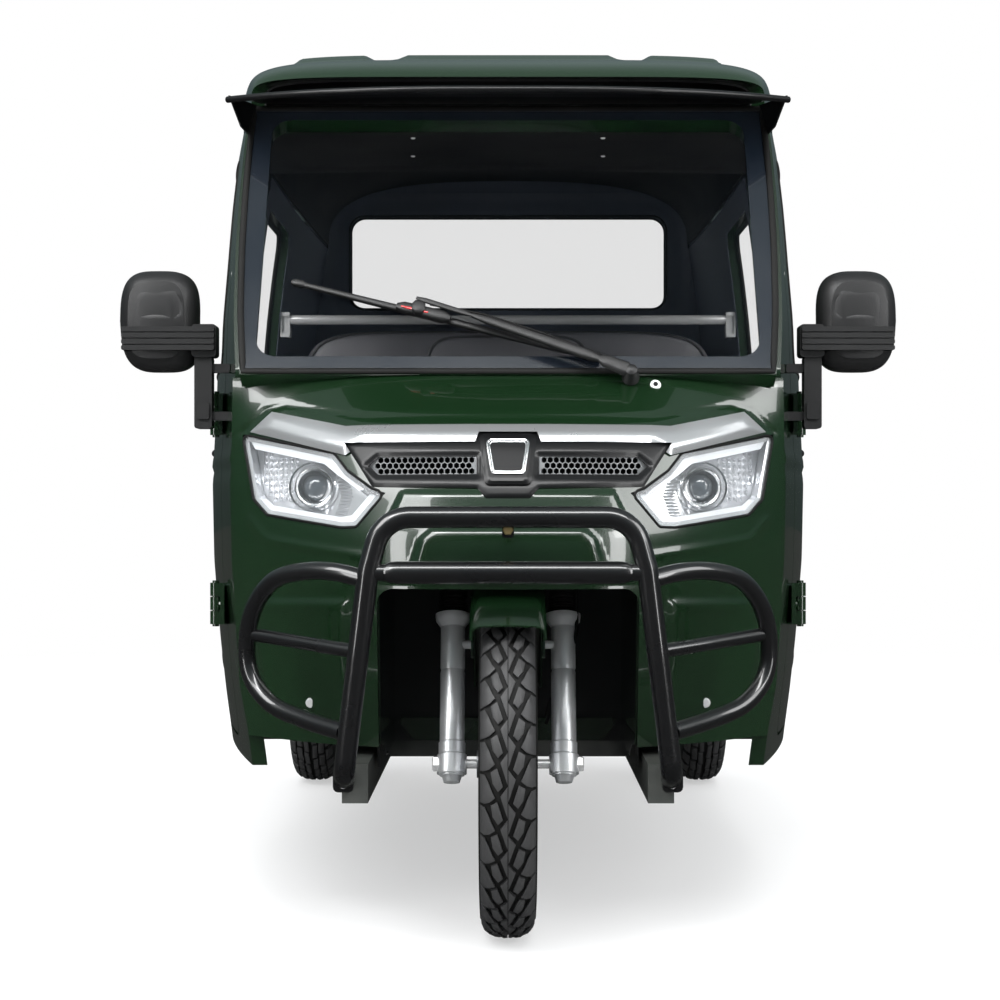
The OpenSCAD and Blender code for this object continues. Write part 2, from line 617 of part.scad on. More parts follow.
module visor() at_axle() color([0.02, 0.02, 0.02]) {
    root = function(u) [u * 440, roof_front() - fit, rail_z + 11];
    lip = function(u) [u * 483, 80 + 170 * pow(abs(u), 2.4), rail_z - 23 + 16 * pow(abs(u), 2)];
    top = function(u, v) (1 - v) * root(u) + v * lip(u) + [0, 0, 14 * sin(180 * v)];
    slab([for (i = [-8:8]) [for (j = [4:-1:0]) top(i / 8, j / 4)]],
         [for (i = [-8:8]) [for (j = [4:-1:0]) top(i / 8, j / 4) - [0, 0, 7]]]);
}

// Wiper: spindle on the nose's top edge, arm, connector and blade, just clear of the glass
module wiper() at_axle() color([0.02, 0.02, 0.02]) on_screen() {
    pivot = [202, -7, 0];
    joint = [-153, 136, 26];
    translate([pivot[0], pivot[1], 7.5]) cylinder(r = 13, h = 21);
    rod(pivot + [0, 0, 24], joint + [0, 0, 4], 6);
    rod([-365, 180, 10], [152, 27, 10], 5);
    rod([-365, 180, 5], [152, 27, 5], 1.7);
    rod([-190, 128, 14], [-100, 101, 14], 9);
    rod(joint + [0, 0, 0], [-148, 116, 12], 7);
}

mirror_tilt = 4;
// Mirrors: clamp on the windscreen pillar, grooved arm and a shell open at the back round its glass
module mirrors() at_axle() color([0.04, 0.04, 0.04]) both() {
    my = 238;
    difference() {
        translate([600, my, 1007]) rotate([90, 0, 0]) translate([0, 0, -34]) loft([
            for (r = [[0, 62, 80], [8, 68, 87], [34, 66, 86], [56, 50, 70], [66, 28, 42]])
                [for (p = oval(r[1], r[2], 3.4, 28)) [p[0] + (p[1] < 0 ? 0.06 : -0.02) * p[1], p[1], r[0]]]]);
        translate([600, my + 40, 1007]) rotate([90, 0, 0]) linear_extrude(14) polygon(oval(57, 76, 3.4, 28));
    }
    // Glass
    translate([600, my + 33, 1007]) rotate([90, 0, 0]) linear_extrude(8) polygon(oval(56.9, 75.9, 3.4, 28));
    difference() {
        block([498, my - 16, 955], [548, my + 16, 1001]);
        for (z = [964, 975, 986]) block([496, my - 17, z], [530, my - 12, z + 5]);
    }
    difference() {
        wall_skin(-30, -fit, my - 26, my + 14, 900, 1001);
        block([wall_x(my - 26, 945) + 8, my - 40, 918], [wall_x(my - 26, 945) + 60, my - 8, 932]);
    }
}

// Frame, floor and cab fittings

rail_zc = 262;
kick_y0 = 1560;
kick_y1 = 1700;
kick_z = 425;
head_z0 = 706;
well_top = 700;
head_z1 = 850;
function axis_y(z) = fork_offset / cos(rake) + (z - axle_z) * tan(rake);

module chassis() at_axle() color([0.03, 0.05, 0.04]) {
    h = rail_h / 2;
    path = [[rail_front, rail_zc], [kick_y0, rail_zc], [kick_y1, kick_z], [back_y - wall_t - 1, kick_z]];
    both() difference() {
        side_plate(chassis_half - chassis_w / 2, chassis_w)
            polygon(concat([for (p = path) [p[0], p[1] + h]], [for (i = [3:-1:0]) [path[i][0], path[i][1] - h]]));
    }
    // Cross members under the floor
    for (y = [430, 1000, kick_y0 - 60])
        block([-chassis_half, y, rail_zc - 24], [chassis_half, y + 50, rail_zc + 24]);
    for (y = [kick_y1 + 60, back_y - wall_t - 41])
        block([-chassis_half, y, kick_z - 20], [chassis_half, y + 40, kick_z + 20]);
    // Outriggers to the sills
    for (y = [700, 1350]) both()
        block([chassis_half, y, rail_zc + 4], [wall_x(y, 260) - wall_t - 1, y + 40, rail_zc + h]);
    // Neck from the first cross member up to the head tube
    difference() {
        side_plate(-26, 52) polygon([[430, rail_zc + 20], [478, rail_zc + 20], [478, well_top + 4],
                                     [axis_y(head_z1 - 10) + 10, head_z1 - 6], [axis_y(head_z0 + 30), head_z0 + 30],
                                     [430, well_top + 16]]);
        on_steering() cylinder(r = 25, h = 2000);
    }
    on_steering() difference() {
        translate([0, 0, (head_z0 - axle_z) / cos(rake)]) cylinder(r = 29, h = (head_z1 - head_z0) / cos(rake));
        cylinder(r = stem_r + fit, h = 2000);
    }
}

module floor_pan() at_axle() color([0.05, 0.05, 0.05]) {
    t = 6;
    last = kick_y0 - 3;
    w = well_half + 4;
    edge = [for (y = [200, 300, 400, 500, 600, 700, 800, 900, last]) [wall_x(y, floor_z - 10) - wall_t - 1, y]];
    translate([0, 0, floor_z - t]) difference() {
        linear_extrude(t) polygon(concat(edge, [for (i = [len(edge) - 1:-1:0]) [-edge[i][0], edge[i][1]]]));
        block([-w, 100, -1], [w, 400, t + 1]);
        block([-30, 425, -1], [30, 482, t + 1]);
    }
    // Ribs pressed into the foot space
    for (x = [-380:60:380]) block([x - 8, 500, floor_z - e], [x + 8, 690, floor_z + 3]);
    // Front wheel housing: two cheeks that follow the nose, back and top
    both() side_plate(well_half, w - well_half) polygon(concat([[400, floor_z - 30], [400, well_top]],
        [for (z = [well_top, 640, 560, 470, 380, skirt_z, floor_z - 30]) [nose_at(w, z) + nose_t + 3, z]]));
    block([-w, 396, floor_z - 30], [w, 400, well_top]);
    difference() {
        block([-w, nose_at(w, well_top) + nose_t + 3, well_top - 4], [w, 400, well_top]);
        on_steering() cylinder(r = 48, h = 900);
    }
    // Toe boards beside the housing
    both() block([w - e, 196, floor_z - t], [wall_x(196, floor_z - 10) - wall_t - 2, 200, 560]);
    // Heel board up to the rear deck, deck over the axle
    deck = kick_z + rail_h / 2 + 1;
    deck_half = rear_track_half - rear_tyre_w / 2 - 12;
    house_y = rear_y - tyre_r - house_gap;
    wide = wall_x(last, deck) - wall_t - 2;
    block([-wide + 20, last - 4, floor_z - t], [wide - 20, last, deck + 4]);
    block([-wide, last - 4, deck], [wide, house_y, deck + 4]);
    block([-deck_half, last - 4, deck], [deck_half, back_y - wall_t - 1, deck + 4]);
    // Rear wheel housings: inner wall, top and front
    out = wall_x(back_y, house_top) - wall_t - 2;
    both() {
        block([deck_half - 4, house_y - 4, deck], [deck_half, back_y - wall_t - 1, house_top]);
        block([deck_half - 4, house_y - 4, house_top - 4], [out, back_y - wall_t - 1, house_top]);
        block([deck_half - 4, house_y - 4, deck], [out, house_y, house_top]);
    }
}

module dash() at_axle() color([0.05, 0.05, 0.055]) {
    ring = function(x) [[x, 190, well_top + 8], [x, 330, well_top + 12], [x, 352, 750], [x, 330, 800], [x, 250, 852], [x, 200, 856]];
    difference() {
        union() {
            loft([for (x = [-430, -200, 200, 430]) [for (p = ring(x)) p + [0, abs(x) > 300 ? -12 : 0, 0]]]);
            // Meter housing in front of the driver
            loft([for (r = [[342, 70, 20, 836], [312, 88, 34, 838], [268, 84, 28, 838]])
                [for (p = oval(r[1], r[2], 3, 20)) [p[0], r[0], p[1] + r[3]]]]);
        }
        block([-60, 150, 600], [60, 400, head_z1 + 2]);
        on_steering() cylinder(r = stem_r + 16, h = 900);
        both() front_plate(320, 60) polygon(rounded(box2(150, 712, 400, 780), 16, 4));
    }
}

// Backs and cushions stay clear of their seats by the fit
module cushion(w, y0, y1, z0, z1, top = 0.9) {
    ym = (y0 + y1) / 2;
    loft([for (r = [[z0, 0.95], [z0 + 12, 1], [z1 - 26, 1], [z1 - 8, 0.965], [z1, top]])
        [for (p = oval(w / 2 * r[1], (y1 - y0) / 2 * r[1], 5, 24)) [p[0], ym + p[1], r[0]]]]);
}
module leaning_back(w, y, z0, z1, t, lean) {
    translate([0, y, z0]) rotate([-lean, 0, 0])
        loft([for (r = [[0, 0.94, 0.8], [14, 0.99, 1], [(z1 - z0) * 0.7, 1, 0.95], [z1 - z0 - 20, 0.93, 0.8],
                        [z1 - z0, 0.82, 0.5]])
            [for (p = oval(w / 2 * r[1], t / 2 * r[2], 4, 24)) [p[0], p[1] + t / 2, r[0]]]]);
}
seat_z = 560;
back_lean = 6;
back_y0 = 1052;
back_t = 70;
function stay_y(z) = back_y0 + back_t / cos(back_lean) + (z - seat_z - 100) * tan(back_lean) + fit;
bench_z = 540;
bench_lean = 2;
bench_back_y = 1612;
bench_back_t = 60;
function bench_stay_y(z) = bench_back_y + bench_back_t / cos(bench_lean) + (z - bench_z - 95) * tan(bench_lean) + fit;
module driver_seat() at_axle() color([0.08, 0.08, 0.09]) cushion(430, 690, 1080, seat_z + fit, seat_z + 85);
module driver_backrest() at_axle() color([0.08, 0.08, 0.09]) leaning_back(360, back_y0, seat_z + 100, 1062, back_t, back_lean);
module bench_cushion() at_axle() color([0.08, 0.08, 0.09]) cushion(930, 1250, 1640, bench_z + fit, bench_z + 80);
module bench_backrest() at_axle() color([0.08, 0.08, 0.09]) leaning_back(980, bench_back_y, bench_z + 95, 1118, bench_back_t, bench_lean);

module seat_bases() at_axle() color([0.1, 0.1, 0.1]) {
    // Driver's pedestal, open at the front, with the back's two stays
    difference() {
        block([-200, 710, floor_z + fit], [200, 1070, seat_z]);
        block([-186, 700, floor_z + 20], [186, 1056, seat_z - 12]);
    }
    both() {
        block([120, 1070 - e, seat_z - 30], [150, 1118, seat_z - 4]);
        side_plate(120, 30) polygon([[1110, seat_z - 30], [1126, seat_z - 30], [stay_y(960) + 8, 960],
                                     [stay_y(960), 960], [stay_y(seat_z), seat_z]]);
    }
    // Passenger bench box and the frame behind its back
    difference() {
        block([-412, 1285, floor_z + fit], [412, kick_y0 - 8, bench_z]);
        block([-398, 1299, floor_z], [398, kick_y0 - 22, bench_z - 14]);
    }
    both() block([330, kick_y0 - 8 - e, bench_z - 30], [360, bench_stay_y(bench_z) + 16, bench_z]);
    both() side_plate(330, 30) polygon([[bench_stay_y(bench_z), bench_z - 1], [bench_stay_y(bench_z) + 16, bench_z - 1],
                                        [bench_stay_y(1080) + 16, 1080], [bench_stay_y(1080), 1080]]);
    block([-360, bench_stay_y(1080), 1060], [360, bench_stay_y(1080) + 16, 1080]);
}

module handrail() at_axle() color([0.75, 0.75, 0.76]) {
    y = 1600;
    x = wall_x(y, 1152) - wall_t - fit;
    rod([-x + 4, y, 1134], [x - 4, y, 1134], 11);
    both() difference() {
        block([x - 22, y - 20, 1092], [x, y + 26, 1150]);
        block([x - 40, y - 30, 1100], [x - 4, y - 12, 1142]);
    }
}

module battery() at_axle() color([0.12, 0.12, 0.13])
    block([-380, 1310, floor_z + fit], [380, 1530, floor_z + 190]);

// Rear axle, springs, lamps, bumper

hub_x = rear_track_half - 62;
module rear_axle() at_axle() color([0.12, 0.12, 0.12]) translate([0, rear_y, axle_z]) {
    rod([-hub_x, 0, 0], [hub_x, 0, 0], 27);
    both() {
        rod([hub_x - 12, 0, 0], [hub_x, 0, 0], 62);
        rod([hub_x - e, 0, 0], [rear_track_half + 16, 0, 0], 15);
    }
    // Differential case and the motor in front of it
    rotate([0, 90, 0]) translate([0, 0, -62]) cylinder(r = 88, h = 124);
    translate([62 - e, -8, 0]) rotate([0, 90, 0]) cylinder(r = 74, h = 120);
    block([-40, -150, -34], [40, -40, 34]);
}

// Points of a flat arc of radius r, bottom at (0, 0), from -half to half along y
function arc_points(r, half, n = 10) = [for (i = [0:n]) let (y = half * (2 * i / n - 1)) [y, r - sqrt(r * r - y * y)]];
leaf_r = 1500;
leaf_t = 8;
module leaf_springs() at_axle() color([0.08, 0.08, 0.09]) both() {
    x = chassis_half + 60;
    eye = 280;
    top = axle_z + 27 + 30;
    for (k = [0:2]) let (a = arc_points(leaf_r, eye - 75 * k)) translate([0, rear_y, top - leaf_t * (k + 1)])
        side_plate(x, 50) polygon(concat(a, [for (i = [len(a) - 1:-1:0]) a[i] + [0, leaf_t + e]]));
    // Seat on the axle and clamp plate
    block([x, rear_y - 45, axle_z + 27 + fit], [x + 50, rear_y + 45, top - 3 * leaf_t + 1]);
    block([x - 4, rear_y - 42, top], [x + 54, rear_y + 42, top + 10]);
    // Eyes and hangers at both ends, up to the kicked-up rails
    for (s = [-1, 1]) {
        y = rear_y + s * (eye - 6);
        ez = top + leaf_r - sqrt(leaf_r * leaf_r - eye * eye);
        rod([x - 38, y, ez + 6], [x + 54, y, ez + 6], 12);
        block([chassis_half + chassis_w / 2 + fit, y - 16, ez - 4], [x - 8, y + 16, kick_z + 22]);
    }
}

module tail_lamps() at_axle() color([0.6, 0.04, 0.04]) both() {
    y = back_y + 0.3;
    translate([470, y, 745]) rotate([-90, 0, 0]) loft([for (r = [[0, 1], [14, 1], [22, 0.9]])
        [for (p = oval(42 * r[1], 105 * r[1], 5, 20)) [p[0], p[1], r[0]]]]);
}

tow_r = 9;
tow_y = back_y + 38;
module rear_bumper() at_axle() color([0.02, 0.02, 0.02]) {
    y = back_y + bumper_reach - 20;
    pipe([[-500, y - 60, 372], [-470, y, 372], [470, y, 372], [500, y - 60, 372]], 20, 40);
    both() block([chassis_half - 22, back_y + fit, kick_z - 62], [chassis_half + 22, y, kick_z + 26]);
    // Towing plate with its pin hole
    difference() {
        block([-40, back_y + fit, 366], [40, y + 6, 378]);
        translate([0, tow_y, 360]) cylinder(r = tow_r, h = 30);
    }
    block([-50, back_y + fit, 350], [50, back_y + 8, 420]);
}

// Steered front end

stem_r = 14;
leg_low = -20;
leg_high = 400;
yoke_z = leg_high - 28;

module fork() at_axle() color([0.62, 0.63, 0.65]) on_steering() {
    both() translate([leg_half, -fork_offset, -13]) {
        translate([0, 0, leg_low]) cylinder(r = leg_r, h = 262);
        translate([0, 0, leg_low - 10]) cylinder(r = leg_r - 4, h = 12);
        // Flared seal cup, dust boot and inner tube
        translate([0, 0, 226]) cylinder(r1 = leg_r, r2 = leg_r + 9, h = 22);
        translate([0, 0, 240]) cylinder(r = leg_r - 5, h = leg_high - 240);
        for (k = [0:5]) translate([0, 0, 248 + k * 11]) cylinder(r1 = leg_r + 4, r2 = leg_r - 1, h = 11 + e);
        // Pin that carries the mudguard's stay
        translate([0, -6, 196]) rotate([0, -90, 0]) cylinder(r = 7, h = leg_half - guard_half - 4);
    }
    // Lower yoke and the steering stem
    translate([0, 0, yoke_z]) linear_extrude(26) polygon(rounded([[-leg_half - 30, -fork_offset - 26],
        [leg_half + 30, -fork_offset - 26], [leg_half + 22, -fork_offset + 26], [34, 32], [-34, 32],
        [-leg_half - 22, -fork_offset + 26]], 18, 5));
    translate([0, 0, yoke_z]) cylinder(r = stem_r, h = stem_top - yoke_z);
    // Wheel spindle with its nuts
    translate([0, -fork_offset, -13]) {
        rod([-leg_half - 26, 0, 0], [leg_half + 26, 0, 0], 7.5);
        both() rod([leg_half + leg_r - 2, 0, 0], [leg_half + leg_r + 12, 0, 0], 13);
    }
}

stem_top = (895 - axle_z) / cos(rake);
module handlebar() at_axle() color([0.06, 0.06, 0.06]) on_steering() {
    z = stem_top + 13;
    bar_knee = [188, 70, z];
    bar_end = [310, 172, z - 18];
    translate([0, 0, stem_top - 34]) difference() {
        cylinder(r = stem_r + 10, h = 58);
        translate([0, 0, -e]) cylinder(r = stem_r + fit, h = 34 + e);
    }
    pipe(across([[90, -4, z + 4], bar_knee, bar_end]), 11, 45, 10);
    // Grips, switch boxes and levers
    both() {
        b = bar_end;
        d = (b - bar_knee) / norm(b - bar_knee);
        a = b - d * 98;
        rod(a + d * 6, b + d * 2, 16);
        rod(a - d * 32, a, 20);
        pipe([a - d * 20 + [0, -6, 0], a + [12, -38, 4], b + [-6, -36, 2]], 5, 14, 8);
    }
}

// Mudguard: thin curved sheet over the tyre, angles counted from the front over the top
guard_from = 50;
guard_to = 158;
module front_mudguard() at_axle() color([0.05, 0.14, 0.09]) {
    translate([0, 0, axle_z]) rotate([0, 90, 0]) rotate([0, 0, 270 - guard_to])
        rotate_extrude(angle = guard_to - guard_from) polygon([
            [guard_r - 26, -guard_half], [guard_r - 8, -guard_half], [guard_r + 2, -guard_half + 14],
            [guard_r + 4, 0], [guard_r + 2, guard_half - 14], [guard_r - 8, guard_half],
            [guard_r - 26, guard_half], [guard_r - 26, guard_half - 3], [guard_r - 9, guard_half - 3],
            [guard_r - 1, guard_half - 15], [guard_r + 1, 0], [guard_r - 1, -guard_half + 15],
            [guard_r - 9, -guard_half + 3], [guard_r - 26, -guard_half + 3]]);
    // Stays from the guard's edge to the pins on the fork legs
    both() on_steering() translate([guard_half - 1, -fork_offset - 26, 160]) cube([4, 30, guard_r - 190]);
}

// Wheels

module turned(x = 0) { translate([x, 0, axle_z]) rotate([0, 90, 0]) rotate_extrude($fn = 64) children(); }
// Tyre section: radius out, width across
module tyre_section(w) {
    h = tyre_r - rim_r;
    polygon([[rim_r + fit, -0.37 * w], [rim_r + 11, -0.375 * w], [rim_r + 0.24 * h, -0.45 * w], [rim_r + 0.5 * h, -0.5 * w],
             [tyre_r - 0.22 * h, -0.485 * w], [tyre_r - 0.09 * h, -0.40 * w], [tyre_r - 0.02 * h, -0.22 * w],
             [tyre_r, 0], [tyre_r - 0.02 * h, 0.22 * w], [tyre_r - 0.09 * h, 0.40 * w],
             [tyre_r - 0.22 * h, 0.485 * w], [rim_r + 0.5 * h, 0.5 * w], [rim_r + 0.24 * h, 0.45 * w],
             [rim_r + 11, 0.375 * w], [rim_r + fit, 0.37 * w], [rim_r + fit, 0.1 * w], [rim_r + fit, -0.1 * w]]);
}
module front_tyre() at_axle() color([0.05, 0.05, 0.05]) turned() tyre_section(front_tyre_w);
module front_wheel() at_axle() color([0.5, 0.51, 0.53]) {
    w = front_tyre_w;
    difference() {
        turned() polygon([[rim_r, -0.42 * w], [rim_r + 9, -0.44 * w], [rim_r + 9, -0.42 * w + 1], [rim_r, -0.38 * w],
                          [rim_r, 0.38 * w], [rim_r + 9, 0.42 * w - 1], [rim_r + 9, 0.44 * w], [rim_r, 0.42 * w],
                          [rim_r - 10, 0.2 * w], [rim_r - 14, 4], [70, 7], [64, 30], [22, 34], [22, 44], [8 + fit, 44],
                          [8 + fit, -50], [22, -50], [22, -40], [66, -36], [70, -7], [rim_r - 14, -4],
                          [rim_r - 10, -0.2 * w]]);
        translate([0, 0, axle_z]) for (k = [0:4]) rotate([k * 72, 0, 0]) translate([-20, 0, 108])
            rotate([0, 90, 0]) cylinder(r = 22, h = 40);
    }
}
module rear_tyre(s) translate([s * rear_track_half, rear_y, 0]) turned() tyre_section(rear_tyre_w);
module rear_wheel(s) translate([s * rear_track_half, rear_y, 0]) {
    w = rear_tyre_w;
    mirror([s < 0 ? 1 : 0, 0, 0]) difference() {
        turned() polygon([[rim_r, -0.42 * w], [rim_r + 9, -0.44 * w], [rim_r + 9, -0.42 * w + 1], [rim_r, -0.38 * w],
                          [rim_r, 0.38 * w], [rim_r + 9, 0.42 * w - 1], [rim_r + 9, 0.44 * w], [rim_r, 0.42 * w],
                          [rim_r - 10, 0.3 * w], [rim_r - 16, 14], [96, 22], [84, 14], [52, 14], [48, 34], [30, 38], [18, 38],
                          [15 + fit, 36], [15 + fit, -24], [30, -24], [34, -60], [100, -60], [108, -56], [108, -20],
                          [96, 8], [rim_r - 20, 6], [rim_r - 14, -0.3 * w]]);
        translate([0, 0, axle_z]) for (k = [0:5]) rotate([k * 60, 0, 0]) translate([-10, 0, 122])
            rotate([0, 90, 0]) cylinder(r = 13, h = 50);
    }
}

// Node modules made from the paired shapes

module side_left() at_axle() color([0.06, 0.17, 0.12]) side_panel();
module side_right() at_axle() color([0.06, 0.17, 0.12]) mirror([1, 0, 0]) side_panel();
module door_left() at_axle() color([0.06, 0.17, 0.12]) door_panel();
module door_right() at_axle() color([0.06, 0.17, 0.12]) mirror([1, 0, 0]) door_panel();
module door_glass_left() at_axle() color([0.5, 0.6, 0.65, 0.4]) wall_glass(door_window(fit), door_y, door_end);
module door_glass_right() at_axle() color([0.5, 0.6, 0.65, 0.4]) mirror([1, 0, 0]) wall_glass(door_window(fit), door_y, door_end);
module rear_tyre_left() at_axle() color([0.05, 0.05, 0.05]) rear_tyre(1);
module rear_tyre_right() at_axle() color([0.05, 0.05, 0.05]) rear_tyre(-1);
module rear_wheel_left() at_axle() color([0.5, 0.51, 0.53]) rear_wheel(1);
module rear_wheel_right() at_axle() color([0.5, 0.51, 0.53]) rear_wheel(-1);

chassis();
floor_pan();
fascia();
headlamps();
headlamp_covers();
grille();
grille_mesh();
chrome_strip();
bull_bar();
windscreen_frame();
windscreen_seal();
windscreen();
visor();
wiper();
mirrors();
roof();
side_left();
side_right();
door_left();
door_right();
door_glass_left();
door_glass_right();
rear_wall();
rear_glazing();
dash();
driver_seat();
driver_backrest();
bench_cushion();
bench_backrest();
seat_bases();
handrail();
battery();
rear_axle();
leaf_springs();
tail_lamps();
rear_bumper();
fork();
handlebar();
front_mudguard();
front_tyre();
front_wheel();
rear_tyre_left();
rear_tyre_right();
rear_wheel_left();
rear_wheel_right();
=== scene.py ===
"""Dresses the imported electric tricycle: finishes, smooth panels, lamps, tread, seats and studio."""

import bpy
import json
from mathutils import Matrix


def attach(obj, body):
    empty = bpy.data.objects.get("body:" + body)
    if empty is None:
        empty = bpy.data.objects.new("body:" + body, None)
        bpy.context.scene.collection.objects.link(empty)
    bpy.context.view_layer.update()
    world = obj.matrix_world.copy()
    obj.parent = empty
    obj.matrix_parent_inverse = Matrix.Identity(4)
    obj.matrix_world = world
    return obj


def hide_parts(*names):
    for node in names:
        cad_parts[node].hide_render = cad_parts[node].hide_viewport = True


bl_info = {
    "name": "Electric tricycle dressing",
    "version": (1, 0, 0),
    "blender": (4, 5, 0),
    "location": "View3D > Sidebar > Tricycle",
    "description": "Finishes and detailed pieces for a closed-cab electric tricycle",
    "category": "Object",
}

import json
import math

import bmesh
import bpy
import numpy as np
from mathutils import Vector

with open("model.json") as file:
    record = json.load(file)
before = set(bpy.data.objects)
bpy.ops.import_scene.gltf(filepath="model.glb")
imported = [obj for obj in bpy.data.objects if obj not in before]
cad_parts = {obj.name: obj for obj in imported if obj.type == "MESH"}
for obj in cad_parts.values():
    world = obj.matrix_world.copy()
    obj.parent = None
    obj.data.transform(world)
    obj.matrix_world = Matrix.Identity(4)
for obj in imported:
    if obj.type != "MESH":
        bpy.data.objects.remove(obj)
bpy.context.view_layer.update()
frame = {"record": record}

# Radius left round the axis of solid turned parts, so that their ends close
CORE_R = 0.02
# Sizes in millimetres in the part's drawing frame: y is the distance behind the front axle.
AXLE_Y = -1075.0
TYRE_R, RIM_R = 275.0, 158.0
AXLE_Z = TYRE_R
REAR_Y = 2000.0
REAR_TRACK_HALF = 484
FRONT_TYRE_W, REAR_TYRE_W = 90, 108
ARCH_R = 325
BODY_HALF = 585
WALL_T = 25
NOSE_JOINT_Y = 150
WINDOW_Z = 935
ROOF_H = 205
COWL_Z = 904.0
RAIL_Z = 1400.0
SCREEN_LEAN = math.radians(27.4)
SCREEN_SLOPE, SCREEN_COS, SCREEN_SIN = math.tan(SCREEN_LEAN), math.cos(SCREEN_LEAN), math.sin(SCREEN_LEAN)
RAKE = math.radians(18)
BACK_Y = 2330.0
LEAN = [(200, 42), (255, 38), (343, 26), (442, 15), (590, 3), (738, 0), (897, 8), (1017, 12),
        (1132, 22), (1227, 33), (1343, 49), (1400, 60)]
NOSE = [(255, -60), (300, -80), (380, -105), (470, -128), (560, -145), (640, -140), (720, -115),
        (790, -70), (830, -20), (870, 45), (904, 100), (960, 180)]
NOSE_HALF = [(255, 428), (306, 434), (388, 449), (473, 455), (602, 462), (730, 464), (904, 461)]
ROOF = [(0, 0.33), (95, 0.50), (250, 0.66), (560, 0.80), (1050, 0.93), (1640, 1.0), (1950, 0.97)]
LAMP = [(443, 809), (278, 774), (254, 745), (214, 717), (192, 709), (238, 655), (264, 654), (394, 674),
        (420, 700)]
GRILLE = [(-262, 790), (-52, 790), (-46, 806), (46, 806), (52, 790), (262, 790), (236, 752), (214, 719),
          (48, 716), (34, 700), (-34, 700), (-48, 716), (-214, 719), (-236, 752)]
MESH_SLOT = [(48, 738), (205, 738), (222, 752), (205, 766), (48, 766)]
BADGE = [(-25, 738), (25, 738), (34.5, 793), (-34.5, 793)]
BADGE_BLOCK = [(-36, 722), (36, 722), (46, 803), (-46, 803)]
WING = [(0, 817), (228, 819), (262, 818), (390, 845), (428, 812), (260, 770), (228, 789), (0, 789)]
LAMP_X, LAMP_Z = 312.0, 719.0


def table(rows, at):
    """Value of a two-column table at one or many places, along straight lines."""
    xs, ys = zip(*rows)
    return np.interp(at, xs, ys)


def soft_table(rows, at, blur=14.0):
    """The same table with its corners rounded off over a few centimetres."""
    at = np.asarray(at, float)
    steps = np.linspace(-1.5, 1.5, 7)
    weight = np.exp(-steps ** 2)
    return sum(w * table(rows, at + s * blur) for s, w in zip(steps, weight)) / weight.sum()


def side_x(y):
    """Half the body width at the widest height, by distance behind the front axle."""
    y = np.asarray(y, float)
    return (BODY_HALF - 133 * (np.clip(900 - y, 0, None) / 800) ** 1.6
            - 18 * (np.clip(y - 1500, 0, None) / 830) ** 2)


def wall_x(y, z):
    """Where the outer face of the left wall lies."""
    return side_x(y) - soft_table(LEAN, z)


def nose_y(x, z):
    """Where the plain skin of the nose lies."""
    middle = soft_table(NOSE, z)
    share = np.minimum(1.2, np.abs(x) / table(NOSE_HALF, z))
    return middle + (NOSE_JOINT_Y - middle) * share ** 2.2


def wall_at(y, z):
    """The same as one plain number."""
    return float(wall_x(y, z))


def nose_at(x, z):
    """The same as one plain number."""
    return float(nose_y(x, z))


def screen_y(z):
    """Where the outer face of the windscreen lies in the middle plane."""
    return 100 + (np.asarray(z, float) - COWL_Z) * SCREEN_SLOPE


ROOF_FRONT = float(screen_y(RAIL_Z)) + 5


def roof_rise(y):
    """Height of the roof above its rail."""
    return ROOF_H * soft_table(ROOF, np.asarray(y, float) - ROOF_FRONT, 30.0)


def signed_inside(x, z, outline):
    """How deep each point lies inside a closed outline; negative outside it."""
    p = np.stack([np.ravel(x), np.ravel(z)], 1).astype(float)
    ring = np.asarray(outline, float)
    far = np.full(len(p), 1e9)
    inside = np.zeros(len(p), bool)
    for a, b in zip(ring, np.roll(ring, -1, axis=0)):
        d = b - a
        t = np.clip(((p - a) @ d) / (d @ d), 0, 1)
        far = np.minimum(far, np.linalg.norm(p - a - t[:, None] * d, axis=1))
        if a[1] != b[1]:
            cross = (a[1] > p[:, 1]) != (b[1] > p[:, 1])
            inside ^= cross & (p[:, 0] < (b[0] - a[0]) * (p[:, 1] - a[1]) / (b[1] - a[1]) + a[0])
    return np.where(inside, far, -far).reshape(np.shape(x))


def smoothstep(v, lo, hi):
    """0 below lo, 1 above hi, eased between them."""
    t = np.clip((v - lo) / (hi - lo), 0, 1)
    return t * t * (3 - 2 * t)


def line_distance(x, z, points):
    """Distance from each point to an open line."""
    far = np.full(np.shape(x), 1e9)
    for (ax, az), (bx, bz) in zip(points, points[1:]):
        d = (bx - ax, bz - az)
        t = np.clip(((x - ax) * d[0] + (z - az) * d[1]) / (d[0] ** 2 + d[1] ** 2), 0, 1)
        far = np.minimum(far, np.hypot(x - ax - t * d[0], z - az - t * d[1]))
    return far


def rounded(points, radius, n=6):
    """Outline or path with rounded corners; the ends of a closed ring are rounded too."""
    p = [Vector(q) for q in points]
    out = []
    for i, b in enumerate(p):
        u, v = (p[i - 1] - b), (p[(i + 1) % len(p)] - b)
        lu, lv = u.length, v.length
        u.normalize(), v.normalize()
        half = u.angle(v) / 2
        r = min(radius, 0.49 * min(lu, lv) * math.tan(half))
        if half > math.radians(89):
            out.append(b)
            continue
        middle = b + (u + v).normalized() * r / math.sin(half)
        d0 = b + u * r / math.tan(half) - middle
        d1 = b + v * r / math.tan(half) - middle
        sweep = math.pi - 2 * half
        for k in range(n):
            t = k / (n - 1)
            out.append(middle + (math.sin((1 - t) * sweep) * d0 + math.sin(t * sweep) * d1) / math.sin(sweep))
    return out


def flat_round(points, radius, n=7):
    """A flat outline with rounded corners."""
    return [tuple(p)[:2] for p in rounded([(*p, 0) for p in points], radius, n)]


def flip(outline):
    """A flat outline mirrored to the vehicle's other side."""
    return [(-p[0], p[1]) for p in reversed(outline)]


